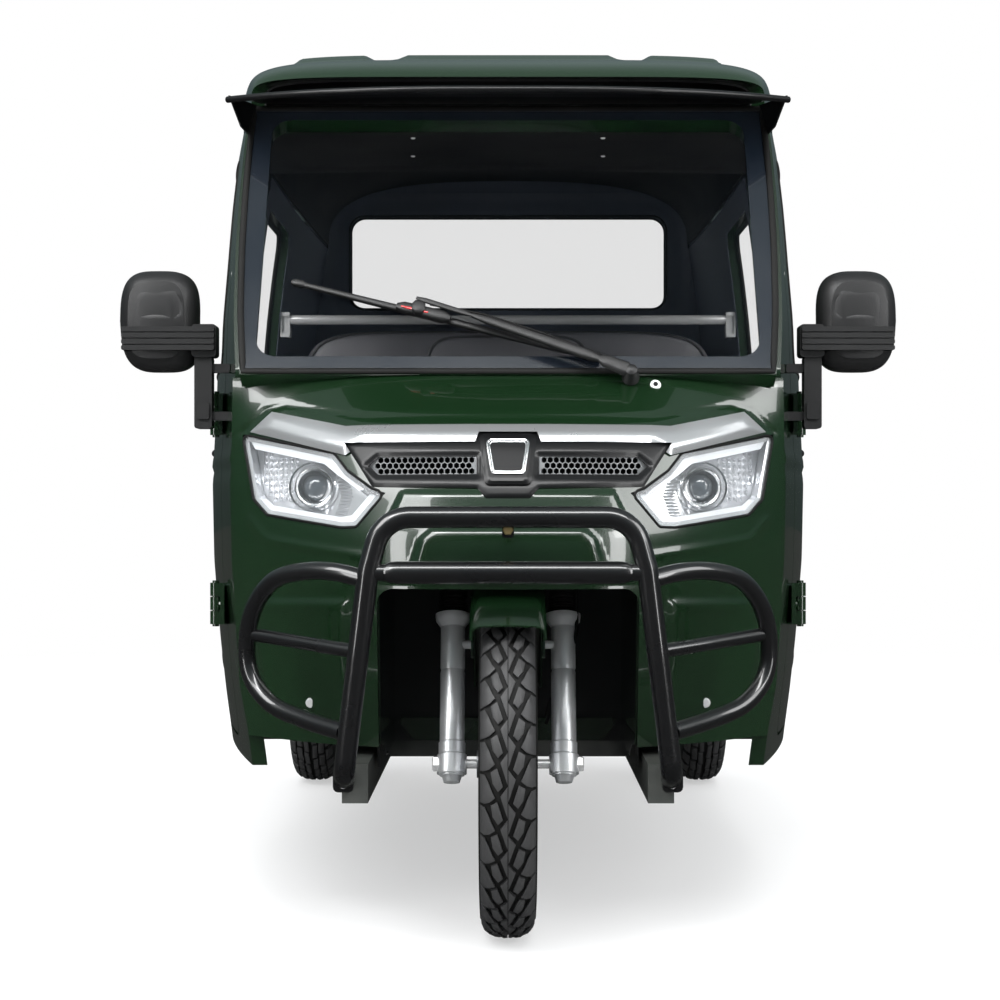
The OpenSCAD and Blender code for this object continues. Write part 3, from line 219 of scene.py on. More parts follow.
def resample(ring, step):
    """A closed line with its points no further apart than about step."""
    ring = [Vector(p) for p in ring]
    out = []
    for a, b in zip(ring, ring[1:] + ring[:1]):
        count = max(1, int((b - a).length / step))
        out += [a.lerp(b, k / count) for k in range(count)]
    return out


def bend_path(points, radius, n=8):
    """Open path through points with its inner corners rounded."""
    if len(points) < 3:
        return [Vector(p) for p in points]
    full = rounded(points, radius, n)
    turns = []
    index = 0
    for i in range(len(points)):
        p, q, r = Vector(points[i - 1]), Vector(points[i]), Vector(points[(i + 1) % len(points)])
        straight = (p - q).angle(r - q) / 2 > math.radians(89)
        count = 1 if straight else n
        turns.append(full[index:index + count])
        index += count
    path = [Vector(points[0])]
    for group in turns[1:-1]:
        path += group
    return path + [Vector(points[-1])]


def smooth_path(points, steps):
    """Catmull-Rom curve through points."""
    p = [2 * Vector(points[0]) - Vector(points[1])] + [Vector(q) for q in points]
    p.append(2 * p[-1] - p[-2])
    out = []
    for a, b, c, d in zip(p, p[1:], p[2:], p[3:]):
        for k in range(steps):
            t = k / steps
            out.append(0.5 * (2 * b + (c - a) * t + (2 * a - 5 * b + 4 * c - d) * t * t
                              + (3 * b - 3 * c + d - a) * t ** 3))
    return out + [Vector(points[-1])]


def mirror_path(points):
    """The points of one half followed across the middle plane to the other side."""
    return [(-p[0], p[1], p[2]) for p in reversed(points)] + list(points)


def compass(n, start=0.0):
    """Cosine and sine of n equal steps round a circle."""
    turns = [start + 2 * math.pi * k / n for k in range(n)]
    return [(math.cos(t), math.sin(t)) for t in turns]


def superellipse(a, b, power, n):
    """Ring with half sizes a and b: the higher the power, the squarer."""
    ring = []
    for c, s in compass(n):
        ring.append((a * math.copysign(abs(c) ** (2 / power), c), b * math.copysign(abs(s) ** (2 / power), s)))
    return ring


def steer(x, y, z):
    """A point of the steering's own frame: z along the raked axis, origin at the axle's height."""
    oy = 40 / math.cos(RAKE)
    return (x, oy + y * math.cos(RAKE) + z * math.sin(RAKE), AXLE_Z - y * math.sin(RAKE) + z * math.cos(RAKE))


def on_screen(x, v, w):
    """A point of the windscreen's plane: v up the slant from its foot, w out of the glass."""
    return (x, 100 + v * SCREEN_SIN - w * SCREEN_COS, COWL_Z + v * SCREEN_COS + w * SCREEN_SIN)


def finish_mesh(name, mesh, material, body, corner=35, nodes=(), slot=None):
    """Turns a mesh in drawing millimetres into a piece that rides on a body."""
    mesh.polygons.foreach_set("use_smooth", [True] * len(mesh.polygons))
    mesh.set_sharp_from_angle(angle=math.radians(corner))
    if material is not None:
        mesh.materials.clear()
        mesh.materials.append(material)
    piece = bpy.data.objects.new(name, mesh)
    bpy.context.scene.collection.objects.link(piece)
    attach(piece, body)
    if nodes:
        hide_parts(*nodes)
    return piece


def raw_mesh(name, verts, faces):
    """Mesh data from points in drawing millimetres, welded and with its faces turned outward."""
    v = np.asarray(verts, float).reshape(-1, 3)
    v = (v + (0, AXLE_Y, 0)) / 1000
    mesh = bpy.data.meshes.new(name)
    mesh.from_pydata(v.tolist(), [], faces)
    mesh.validate()
    work = bmesh.new()
    work.from_mesh(mesh)
    bmesh.ops.remove_doubles(work, verts=work.verts, dist=1e-6)
    bmesh.ops.recalc_face_normals(work, faces=work.faces)
    work.to_mesh(mesh)
    work.free()
    return mesh


def put(name, part, finish, key, body="body", slot=None, **more):
    """A piece from points and faces in the finish named by key; its slot argument is passed on but not used."""
    return finish_mesh(name, raw_mesh(name, *part), finish[key], body, slot=slot or key, **more)


def grid_slab(outer, inner):
    """Points and faces of a closed solid between two equal grids of points."""
    outer, inner = np.asarray(outer, float), np.asarray(inner, float)
    m, n = outer.shape[:2]
    k = m * n
    verts = np.concatenate([outer.reshape(-1, 3), inner.reshape(-1, 3)])
    i, j = np.meshgrid(np.arange(m - 1), np.arange(n - 1), indexing="ij")
    a = (i * n + j).ravel()
    top = np.stack([a, a + 1, a + n + 1, a + n], 1)
    faces = [tuple(q) for q in top.tolist()] + [tuple(q) for q in (top[:, ::-1] + k).tolist()]
    ring = ([(0, c) for c in range(n)] + [(r, n - 1) for r in range(1, m)]
            + [(m - 1, c) for c in range(n - 2, -1, -1)] + [(r, 0) for r in range(m - 2, 0, -1)])
    edge = [r * n + c for r, c in ring]
    faces += [(q, p, p + k, q + k) for p, q in zip(edge, edge[1:] + edge[:1])]
    return verts, faces


def loft(rings, closed=False):
    """Points and faces through equal closed rings, with flat ends unless the rings close on themselves."""
    n, m = len(rings[0]), len(rings)
    verts = [tuple(p) for ring in rings for p in ring]
    faces = []
    for i in range(m if closed else m - 1):
        i2 = (i + 1) % m
        faces += [(i * n + j, i2 * n + j, i2 * n + (j + 1) % n, i * n + (j + 1) % n) for j in range(n)]
    if not closed:
        faces += [tuple(range(n)), tuple((m - 1) * n + j for j in reversed(range(n)))]
    return verts, faces


def sweep(path, radius, sides=20, closed=False):
    """Points and faces of a round bar along a path, which may close on itself."""
    path = [Vector(p) for p in path]
    side = None
    rings = []
    for i, p in enumerate(path):
        if closed:
            d = (path[(i + 1) % len(path)] - path[i - 1]).normalized()
        else:
            d = (path[min(i + 1, len(path) - 1)] - path[max(i - 1, 0)]).normalized()
        if side is None:
            side = d.cross(Vector((0, 0, 1)) if abs(d.z) < 0.9 else Vector((0, 1, 0)))
        side = (side - d * side.dot(d)).normalized()
        up = d.cross(side)
        r = radius[i] if isinstance(radius, (list, tuple)) else radius
        rings.append([p + r * (side * c + up * s) for c, s in compass(sides)])
    return loft(rings, closed)


def bead(line, normal, high, wide, sides, start=0.0):
    """A cord along a closed line on a surface: half sizes along and across the surface's normal."""
    rings = []
    for i, p in enumerate(line):
        d = (line[(i + 1) % len(line)] - line[i - 1]).normalized()
        out = Vector(normal)
        out = (out - d * out.dot(d)).normalized()
        side = d.cross(out)
        rings.append([p + out * high * c + side * wide * s for c, s in compass(sides, start)])
    return loft(rings, closed=True)


def lathe(profile, origin, axis, n=64):
    """Points and faces of a closed profile (along, out) turned round an axis through origin."""
    axis = Vector(axis).normalized()
    side = axis.cross(Vector((0, 0, 1)) if abs(axis.z) < 0.9 else Vector((0, 1, 0))).normalized()
    up = axis.cross(side)
    origin = Vector(origin)
    rings = []
    for c, s in compass(n):
        rings.append([origin + axis * a + (side * c + up * s) * r for a, r in profile])
    return loft(rings, closed=True)


def turned(profile, origin, axis, n=64):
    """A solid turned part: the profile's two ends are closed at the axis."""
    return lathe([(profile[0][0], CORE_R), *profile, (profile[-1][0], CORE_R)], origin, axis, n)


def join(parts):
    """Several (points, faces) pairs as one."""
    verts, faces = [], []
    for v, f in parts:
        base = len(verts)
        verts += [tuple(p) for p in v]
        faces += [tuple(i + base for i in q) for q in f]
    return verts, faces


def mirrored(part):
    """The part on the other side of the middle plane."""
    v, f = part
    return [(-p[0], p[1], p[2]) for p in v], [tuple(reversed(q)) for q in f]


def both(part):
    """The part and its mirror image."""
    return join([part, mirrored(part)])


def tile(outline, step, front, back):
    """A plate with a fine grid inside its outline, between two surfaces.

    front and back take arrays of the outline's two coordinates and give points."""
    work = bmesh.new()
    work.faces.new([work.verts.new((p[0], p[1], 0)) for p in outline])
    spans = np.asarray(outline, float)
    for axis in (0, 1):
        lo, hi = spans[:, axis].min(), spans[:, axis].max()
        for c in np.arange(lo + step * 0.53, hi, step):
            co, no = [0, 0, 0], [0, 0, 0]
            co[axis], no[axis] = c, 1
            bmesh.ops.bisect_plane(work, geom=work.verts[:] + work.edges[:] + work.faces[:],
                                   plane_co=co, plane_no=no, dist=1e-4)
    work.verts.index_update()
    flat = np.array([v.co[:2] for v in work.verts])
    faces = [tuple(v.index for v in f.verts) for f in work.faces]
    rim = [(e.verts[0].index, e.verts[1].index) for e in work.edges if e.is_boundary]
    work.free()
    k = len(flat)
    verts = np.concatenate([front(flat[:, 0], flat[:, 1]), back(flat[:, 0], flat[:, 1])])
    faces = faces + [tuple(reversed([i + k for i in f])) for f in faces] + [(a, b, b + k, a + k) for a,
                                                                            b in rim]
    return verts.tolist(), faces


def nose_layer(ahead, relief=None):
    """A surface that many mm in front of the nose skin."""
    def points(x, z):
        lift = ahead + (relief(x, z) if relief else 0)
        return np.stack([x, nose_y(x, z) - lift, z + 0 * x], 1)
    return points


def on_nose(outline, front, back, step=8, relief=None):
    """A plate that follows the nose, from back to front mm ahead of its skin."""
    return tile(outline, step, nose_layer(front, relief), nose_layer(back))


def cut(piece, parts, operation="DIFFERENCE"):
    """Cuts closed shapes out of a piece, or keeps only what lies in them."""
    mesh = raw_mesh("cutter", *join(parts))
    tool = bpy.data.objects.new("cutter", mesh)
    bpy.context.scene.collection.objects.link(tool)
    tool.parent = None
    step = piece.modifiers.new("cut", "BOOLEAN")
    step.operation = operation
    step.solver = "EXACT"
    step.object = tool
    bpy.context.view_layer.update()
    shaped = bpy.data.meshes.new_from_object(piece.evaluated_get(bpy.context.evaluated_depsgraph_get()))
    piece.modifiers.clear()
    piece.data = shaped
    bpy.data.objects.remove(tool)
    shaped.polygons.foreach_set("use_smooth", [True] * len(shaped.polygons))
    shaped.set_sharp_from_angle(angle=math.radians(35))


def prism_y(outline, y0, y1):
    """An outline in (x, z) pushed through from y0 to y1."""
    return loft([[(p[0], y, p[1]) for p in outline] for y in (y0, y1)])


def prism_x(outline, x0, x1):
    """An outline in (y, z) pushed through from x0 to x1."""
    return loft([[(x, p[0], p[1]) for p in outline] for x in (x0, x1)])


def side_cutter(outline):
    """An outline in (y, z) pushed through the whole left wall."""
    return prism_x(outline, 300, 700)


def brick(a, b, edge=0.0):
    """A box between two corners, its upright edges eased by edge."""
    ring = [(a[0], a[2]), (b[0], a[2]), (b[0], b[2]), (a[0], b[2])]
    if edge:
        ring = [tuple(p) for p in rounded(ring, edge, 4)]
    return prism_y(ring, a[1], b[1])


# Shared effects, each one node group with plain outputs

def new_group(name, inputs, outputs):
    """An empty node group with its input and output nodes."""
    group = bpy.data.node_groups.new(name, "ShaderNodeTree")
    for title, kind, default in inputs:
        socket = group.interface.new_socket(title, in_out="INPUT", socket_type=kind)
        if default is not None:
            socket.default_value = default
    for title, kind in outputs:
        group.interface.new_socket(title, in_out="OUTPUT", socket_type=kind)
    return group, group.nodes.new("NodeGroupInput"), group.nodes.new("NodeGroupOutput")


def add(tree, kind, **values):
    """A new node; values are its own settings or the defaults of its inputs."""
    node = tree.nodes.new(kind)
    for key, value in values.items():
        if hasattr(node, key):
            setattr(node, key, value)
        else:
            node.inputs[key.replace("_", " ")].default_value = value
    return node


def wear_group():
    """Colour, roughness and normal with soft stains, fine dust and light handling marks."""
    group, come, go = new_group("handled_surface", [
        ("Colour", "NodeSocketColor", (0.1, 0.1, 0.1, 1)),
        ("Dust Colour", "NodeSocketColor", (0.2, 0.19, 0.17, 1)),
        ("Dust", "NodeSocketFloat", 0.1), ("Scale", "NodeSocketFloat", 6.0),
        ("Roughness", "NodeSocketFloat", 0.3),
        ("Unevenness", "NodeSocketFloat", 0.1), ("Grain", "NodeSocketFloat", 0.02),
        ("Grain Scale", "NodeSocketFloat", 400.0)],
        [("Colour", "NodeSocketColor"), ("Roughness", "NodeSocketFloat"), ("Normal", "NodeSocketVector")])
    link = group.links.new
    place = add(group, "ShaderNodeTexCoord")
    cloud = add(group, "ShaderNodeTexNoise", Detail=6.0, Roughness=0.6)
    fine = add(group, "ShaderNodeTexNoise", Detail=3.0, Roughness=0.5)
    link(place.outputs["Object"], cloud.inputs["Vector"])
    link(place.outputs["Object"], fine.inputs["Vector"])
    link(come.outputs["Scale"], cloud.inputs["Scale"])
    link(come.outputs["Grain Scale"], fine.inputs["Scale"])
    share = add(group, "ShaderNodeMapRange", From_Min=0.35, From_Max=0.75, To_Min=0.0, To_Max=1.0)
    link(cloud.outputs["Fac"], share.inputs["Value"])
    dusty = add(group, "ShaderNodeMath", operation="MULTIPLY")
    link(share.outputs["Result"], dusty.inputs[0])
    link(come.outputs["Dust"], dusty.inputs[1])
    mix = add(group, "ShaderNodeMix", data_type="RGBA")
    link(dusty.outputs[0], mix.inputs["Factor"])
    link(come.outputs["Colour"], mix.inputs["A"])
    link(come.outputs["Dust Colour"], mix.inputs["B"])
    link(mix.outputs["Result"], go.inputs["Colour"])
    rough = add(group, "ShaderNodeMath", operation="MULTIPLY_ADD")
    link(cloud.outputs["Fac"], rough.inputs[0])
    link(come.outputs["Unevenness"], rough.inputs[1])
    link(come.outputs["Roughness"], rough.inputs[2])
    link(rough.outputs[0], go.inputs["Roughness"])
    bump = add(group, "ShaderNodeBump", Distance=0.0006)
    link(come.outputs["Grain"], bump.inputs["Strength"])
    link(fine.outputs["Fac"], bump.inputs["Height"])
    link(bump.outputs["Normal"], go.inputs["Normal"])
    return group


def leather_group():
    """Pebbled leather: cells with fine creases between them."""
    group, come, go = new_group("pebbled_leather", [
        ("Colour", "NodeSocketColor", (0.05, 0.05, 0.055, 1)),
        ("Worn Colour", "NodeSocketColor", (0.09, 0.09, 0.095, 1)),
        ("Pebble Scale", "NodeSocketFloat", 260.0), ("Depth", "NodeSocketFloat", 0.35)],
        [("Colour", "NodeSocketColor"), ("Roughness", "NodeSocketFloat"), ("Normal", "NodeSocketVector")])
    link = group.links.new
    place = add(group, "ShaderNodeTexCoord")
    cells = add(group, "ShaderNodeTexVoronoi", feature="DISTANCE_TO_EDGE")
    soft = add(group, "ShaderNodeTexNoise", Scale=9.0, Detail=5.0)
    link(place.outputs["Object"], cells.inputs["Vector"])
    link(place.outputs["Object"], soft.inputs["Vector"])
    link(come.outputs["Pebble Scale"], cells.inputs["Scale"])
    mix = add(group, "ShaderNodeMix", data_type="RGBA")
    link(soft.outputs["Fac"], mix.inputs["Factor"])
    link(come.outputs["Colour"], mix.inputs["A"])
    link(come.outputs["Worn Colour"], mix.inputs["B"])
    link(mix.outputs["Result"], go.inputs["Colour"])
    rough = add(group, "ShaderNodeMapRange", From_Min=0.0, From_Max=1.0, To_Min=0.42, To_Max=0.62)
    link(soft.outputs["Fac"], rough.inputs["Value"])
    link(rough.outputs["Result"], go.inputs["Roughness"])
    bump = add(group, "ShaderNodeBump", Distance=0.0012)
    link(come.outputs["Depth"], bump.inputs["Strength"])
    link(cells.outputs["Distance"], bump.inputs["Height"])
    link(bump.outputs["Normal"], go.inputs["Normal"])
    return group


WEAR = wear_group()
LEATHER = leather_group()


def grouped(name, effect, inputs, sockets, varied=("Colour", "Roughness", "Normal")):
    """A material whose varied values come from a shared effect and the others from the shader's own sockets."""
    material = bpy.data.materials.new(name)
    material.use_nodes = True
    tree = material.node_tree
    shader = tree.nodes["Principled BSDF"]
    group = tree.nodes.new("ShaderNodeGroup")
    group.node_tree = effect
    for key, value in inputs.items():
        group.inputs[key].default_value = value
    for key in varied:
        tree.links.new(group.outputs[key], shader.inputs["Base Color" if key == "Colour" else key])
    for key, value in sockets.items():
        shader.inputs[key].default_value = value
    return material


def surface(name, colour, rough=0.3, metal=0.0, coat=0.0, dust=0.08, uneven=0.08, grain=0.03, grain_scale=300.0,
            coat_rough=0.04, specular=0.5, dust_colour=(0.16, 0.155, 0.14)):
    """A finish whose colour, roughness and fine grain vary over the surface."""
    return grouped(name, WEAR, {
        "Colour": (*colour, 1), "Dust Colour": (*dust_colour, 1), "Dust": dust, "Scale": 5.0,
        "Roughness": rough,
        "Unevenness": uneven, "Grain": grain, "Grain Scale": grain_scale}, {
        "Metallic": metal, "Coat Weight": coat, "Coat Roughness": coat_rough, "Specular IOR Level": specular})


def leather(name, colour, worn, pebble):
    """Pebbled seat leather."""
    return grouped(name, LEATHER, {"Colour": (*colour, 1), "Worn Colour": (*worn, 1), "Pebble Scale": pebble},
                   {})


def glass(name, colour, alpha):
    """Clear or tinted glazing: mostly see-through by its alpha, with faint dust in its colour."""
    return grouped(name, WEAR, {"Colour": (*colour, 1), "Dust": 0.03, "Scale": 4.0, "Roughness": 0.02,
                                "Unevenness": 0.02, "Grain": 0.0}, {"IOR": 1.45, "Alpha": alpha},
                                ("Colour", "Roughness"))


def make_finishes(look):
    """All finishes by name, in the colours that the user chose."""
    return {
        "green_paint": surface("bottle_green_paint", tuple(look.body_colour), 0.22, coat=1.0, dust=0.02,
                               uneven=0.05,
                               dust_colour=(0.03, 0.045, 0.03),
                               grain=0.0, coat_rough=0.03),
        "black_paint": surface("black_bar_paint", tuple(look.bar_colour), 0.24, coat=0.9, dust=0.03, grain=0.0,
                               dust_colour=(0.03, 0.03, 0.03)),
        "frame_paint": surface("frame_paint", (0.012, 0.016, 0.014), 0.5, dust=0.35, grain=0.1),
        "black_plastic": surface("grained_black_plastic", (0.0065, 0.0065, 0.007), 0.42, dust=0.1, grain=0.3,
                                 grain_scale=700.0, dust_colour=(0.03, 0.03, 0.03)),
        "gloss_black": surface("gloss_black_plastic", (0.003, 0.003, 0.0035), 0.33, coat=0.12, specular=0.35,
                               dust=0.02,
                               grain=0.01, dust_colour=(0.03, 0.03, 0.03)),
        "bright_trim": surface("satin_bright_trim", (0.72, 0.73, 0.74), 0.2, metal=1.0, dust=0.04, uneven=0.06,
                               grain=0.02),
        "lamp_metal": surface("lamp_reflector", (0.86, 0.87, 0.89), 0.12, metal=0.72, dust=0.0, uneven=0.04,
                              grain=0.0),
        "lamp_cover": glass("clear_lamp_cover", (0.25, 0.27, 0.28), alpha=0.07),
        "window_glass": glass("window_glass", (0.008, 0.011, 0.014), alpha=look.window_tint),
        "rubber": surface("black_rubber", (0.003, 0.003, 0.003), 0.55, specular=0.2, dust=0.03, grain=0.1),
        # Lighter than the near-black rubber of the tyre carcass, so the tread blocks stand out against the
        # painted shade of the grooves
        "tyre": surface("tyre_rubber", (0.024, 0.024, 0.025), 0.5, dust=0.3, uneven=0.15, grain=0.35,
                        grain_scale=500.0, dust_colour=(0.03, 0.029, 0.028)),
        "seat_leather": leather("dark_seat_leather", tuple(look.seat_colour), (0.11, 0.108, 0.118), 240.0),
        "alloy": surface("satin_alloy", (0.74, 0.75, 0.76), 0.3, metal=0.78, dust=0.1, uneven=0.12, grain=0.06),
        "stainless": surface("polished_tube", (0.75, 0.75, 0.75), 0.22, metal=0.6, dust=0.03, uneven=0.05),
        "strip_metal": surface("satin_strip", (0.56, 0.57, 0.58), 0.26, metal=0.8, coat=0.3, dust=0.02,
                               uneven=0.04,
                               grain=0.01),
        "mesh_metal": surface("mesh_metal", (0.36, 0.37, 0.38), 0.3, metal=0.6, dust=0.05),
        "wheel_alloy": surface("wheel_alloy", (0.45, 0.46, 0.48), 0.34, metal=1.0, dust=0.2, uneven=0.1,
                               grain=0.08),
        "red_lamp": surface("red_lens", (0.42, 0.012, 0.012), 0.1, coat=1.0, dust=0.02, uneven=0.03, grain=0.0),
        "battery_case": surface("battery_case", (0.03, 0.03, 0.034), 0.5, dust=0.2, grain=0.2),
        "lens_dark": surface("projector_lens", (0.05, 0.06, 0.07), 0.04, coat=1.0, dust=0.0, grain=0.0),
        "light_band": surface("lamp_light_band", (0.60, 0.62, 0.64), 0.3, coat=0.5, dust=0.02, grain=0.0),
        "badge_grey": surface("blank_badge", (0.045, 0.047, 0.05), 0.35, coat=0.3, dust=0.05),
        "brass": surface("yellow_plated_bolt", (0.62, 0.47, 0.22), 0.35, metal=1.0, dust=0.1),
        "headliner": surface("black_headliner", (0.006, 0.006, 0.007), 0.85, dust=0.1, grain=0.5,
                             grain_scale=900.0),
        "white_plastic": surface("white_plastic", (0.75, 0.76, 0.75), 0.35, dust=0.05),
        "cab_lining": surface("blue_grey_lining", tuple(look.lining_colour), 0.5, dust=0.1, grain=0.3,
                              grain_scale=700.0),
        "edge_band": surface("glass_edge_band", (0.006, 0.009, 0.014), 0.12, coat=0.8, dust=0.03, grain=0.0),
        "mirror_face": surface("mirror_face", (0.9, 0.91, 0.92), 0.02, metal=1.0, dust=0.01, grain=0.0),
        "piping": surface("seat_piping", (0.018, 0.018, 0.02), 0.45, dust=0.1, grain=0.2),
    }


# Nose, lamps, grille and bull bar

RAISED_MIDDLE = [(-208, 572), (208, 572), (200, 640), (166, 712), (-166, 712), (-200, 640)]
STEPPED_PAD = [(-152, 592), (152, 592), (138, 640), (118, 657), (-118, 657), (-138, 640)]
SIDE_PRESSING = [(248, 350), (402, 350), (424, 470), (405, 540), (250, 545)]
UPPER_CREASE = [(0, 829), (234, 832), (368, 856), (403, 848), (443, 811)]
LOWER_CREASE = [(224, 610), (397, 634), (426, 666)]
WHEEL_OPENING = [(-205, 200), (-205, 560), (205, 560), (205, 200)]


def nose_relief(x, z):
    """How far the pressed middle, side pressings and creases stand ahead of the plain skin."""
    ax = np.abs(x)
    lift = 7 * smoothstep(signed_inside(x, z, RAISED_MIDDLE), -4, 7)
    lift = lift + 9 * smoothstep(signed_inside(x, z, STEPPED_PAD), -2, 9)
    side = signed_inside(ax, z, SIDE_PRESSING)
    lift = lift + 6 * smoothstep(side, -3, 14) - 3 * smoothstep(side, 16, 30)
    lift = lift - 3.5 * np.exp(-(line_distance(ax, z, UPPER_CREASE) / 4.5) ** 2)
    lift = lift + 3.0 * np.exp(-(line_distance(ax, z, LOWER_CREASE) / 6.0) ** 2)
    return lift


def nose_shell(finish):
    """Nose skin with its relief, cut for the wheel, lamps, grille and badge."""
    rows = np.arange(306, 905, 4.6)
    cols = np.linspace(-1, 1, 201)
    share, z = np.meshgrid(cols, rows, indexing="ij")
    x = share * table(NOSE_HALF, z)
    outer = np.stack([x, nose_y(x, z) - nose_relief(x, z), z], -1)
    inner = np.stack([x, nose_y(x, z) + 22, z], -1)
    shell = put("nose_shell", grid_slab(outer, inner), finish, "green_paint", nodes=["fascia"])
    opening = flat_round(WHEEL_OPENING, 26, 6)
    badge = flat_round(BADGE_BLOCK, 9, 4)
    grown = [(p[0] * 1.02, 762 + (p[1] - 762) * 1.02) for p in badge]
    cut(shell, [prism_y(opening, -400, 140), prism_y(LAMP, -400, 400), prism_y(flip(LAMP), -400, 400)])
    cut(shell, [prism_y(GRILLE, -400, 400)])
    cut(shell, [prism_y(grown, -400, 400)])
    return shell


def ring_on_nose(outline, ahead, radius, corner=6):
    """A thin round rim that follows an outline on the nose."""
    ring = resample(flat_round(outline, corner, 4), 10)
    line = [Vector((x, nose_at(x, z) - ahead, z)) for x, z in ring]
    return bead(line, (0, -1, 0), radius, radius, 8)


def shrink(outline, inset):
    """The outline moved inward by inset, corner by corner."""
    out = []
    n = len(outline)
    area = sum(outline[i][0] * outline[(i + 1) % n][1] - outline[(i + 1) % n][0] * outline[i][1]
               for i in range(n))
    turn = 1 if area > 0 else -1
    for i in range(n):
        a, b, c = (Vector((*outline[j % n], 0)) for j in (i - 1, i, i + 1))
        u, v = (b - a).normalized(), (c - b).normalized()
        nu, nv = Vector((-u.y, u.x, 0)) * turn, Vector((-v.y, v.x, 0)) * turn
        m = (nu + nv).normalized()
        p = b + m * inset / max(0.35, m.dot(nu))
        out.append((p.x, p.y))
    return out


def lamps(finish):
    """Reflector bowl, light bands, projector and clear cover of each headlamp."""
    edge = flat_round(LAMP, 8, 3)
    inner = shrink(edge, 9)
    floor = shrink(edge, 16)
    wall = []
    for ring, depth in ((edge, 3), (inner, 8), (floor, 55), (floor, 72), (edge, 72)):
        wall.append([(x, nose_at(x, z) + depth, z) for x, z in ring])
    bowl = loft(wall, closed=True)
    back = tile(floor, 9, nose_layer(-54), nose_layer(-60))
    facets = []
    for i in range(9):
        for j in range(11):
            x, z = 346 + i * 9.5, 680 + j * 10.5
            at_rim = float(signed_inside(np.array([x]), np.array([z]), LAMP)[0]) < 23
            if at_rim or math.dist((x, z), (LAMP_X, LAMP_Z)) < 44:
                continue
            y = nose_at(x, z) + 56
            corners = [(x - 4.4, y, z - 4.9), (x + 4.4, y, z - 4.9), (x + 4.4, y, z + 4.9),
                       (x - 4.4, y, z + 4.9)]
            facets.append((corners + [(x + 1.5, y - 9, z + 1.0)],
                           [(0, 1, 4), (1, 2, 4), (2, 3, 4), (3, 0, 4), (3, 2, 1, 0)]))
    for k in range(14):
        z = 671 + k * 5.2
        x = 262 + abs(k - 6) * 1.5
        if float(signed_inside(np.array([x]), np.array([z]), LAMP)[0]) > 14:
            y = nose_at(x, z) + 46
            facets.append(brick((x - 14, y, z), (x + 6, y + 9, z + 3.2)))
    put("lamp_bowls", both(join([bowl, back] + facets)), finish, "lamp_metal", corner=20, nodes=["headlamps"])
    y0 = nose_at(LAMP_X, LAMP_Z)
    centre = (LAMP_X, y0 + 58, LAMP_Z)
    bezel = lathe([(0, 20), (0, 38), (8, 38), (26, 34.5), (33, 32.5), (35, 30), (33, 27), (24, 25), (14, 23)],
                  centre,
                  (0, -1, 0), 48)
    ring = lathe([(30, 40), (33, 41.5), (36, 40), (33, 38.5)], centre, (0, -1, 0), 48)
    put("projector_rings", both(join([bezel, ring])), finish, "bright_trim")
    bulb = [(0.5, 0.0)] + [(2 + 25 * math.sin(t), 25 * math.cos(t)) for t in np.linspace(0, 1.5, 10)]
    lens = lathe([(0.5, 0.02), (0.5, 25), *bulb[1:], (27, 0.02)], centre, (0, -1, 0), 40)
    put("projector_lenses", both(lens), finish, "lens_dark", slot="lamp_cover")
    upper = [(429, 799), (284, 768), (262, 744), (222, 716), (236, 713), (276, 741), (296, 757), (420, 784)]
    lower = [(200, 706), (239, 662), (264, 661), (391, 681), (408, 699), (396, 700), (384, 690), (266, 671),
             (247, 674),
             (218, 707)]
    bands = join([on_nose(upper, -14, -24, 12), on_nose(lower, -14, -24, 12)])
    put("lamp_light_bands", both(bands), finish, "light_band", slot="lamp_cover")
    cover = on_nose(shrink(edge, 1.5), 1, -2.5, 7)
    put("lamp_covers", both(cover), finish, "lamp_cover", nodes=["headlamp_covers"])
    gasket = ring_on_nose(shrink(edge, 0.5), -0.5, 2.4, corner=3)
    put("lamp_gaskets", both(gasket), finish, "rubber")


def grille(finish):
    """Black frame with bevelled slots, blank badge and the two-faceted bright strip."""
    def bevel(x, z):
        ax = np.abs(x)
        return -5 * (1 - smoothstep(-signed_inside(ax, z, MESH_SLOT), 0, 9)) - 2.5 * (
            1 - smoothstep(signed_inside(x, z, GRILLE), 0, 5))
    frame_piece = put("grille_frame", on_nose(GRILLE, 4, -24, 3.5, bevel), finish, "gloss_black",
                      nodes=["grille"])
    cut(frame_piece, [prism_y(MESH_SLOT, -400, 300), prism_y(flip(MESH_SLOT), -400, 300)])
    block = flat_round(BADGE_BLOCK, 9, 5)

    def cushion_edge(x, z):
        return -4 * (1 - smoothstep(signed_inside(x, z, block), 0, 7))
    put("badge_block", on_nose(block, 12, -18, 3.5, cushion_edge), finish, "gloss_black")
    rim = join([ring_on_nose(shrink(BADGE, 1.0), 12.6, 2.4, 6), ring_on_nose(shrink(BADGE, 4.0), 12.2, 1.2, 5)])
    wing = [*WING[1:-1], *flip(WING[1:-1])]

    def crease(x, z):
        depth = signed_inside(x, z, wing)
        return np.minimum(depth, 13) / 13 * 8 - 8
    strip = on_nose(wing, 12, -0.9, 4, crease)
    bright = put("bright_strip", strip, finish, "strip_metal", slot="bright_trim", nodes=["chrome_strip"],
                 corner=25)
    grown = [(p[0] * 1.03, 762 + (p[1] - 762) * 1.02) for p in block]
    cut(bright, [prism_y(grown, -400, 300), prism_y(GRILLE, -400, 300)])
    put("badge_rim", rim, finish, "bright_trim")
    fill = on_nose(shrink(BADGE, 4.5), 11.2, 6, 6)
    put("badge_blank", fill, finish, "badge_grey", slot="gloss_black")


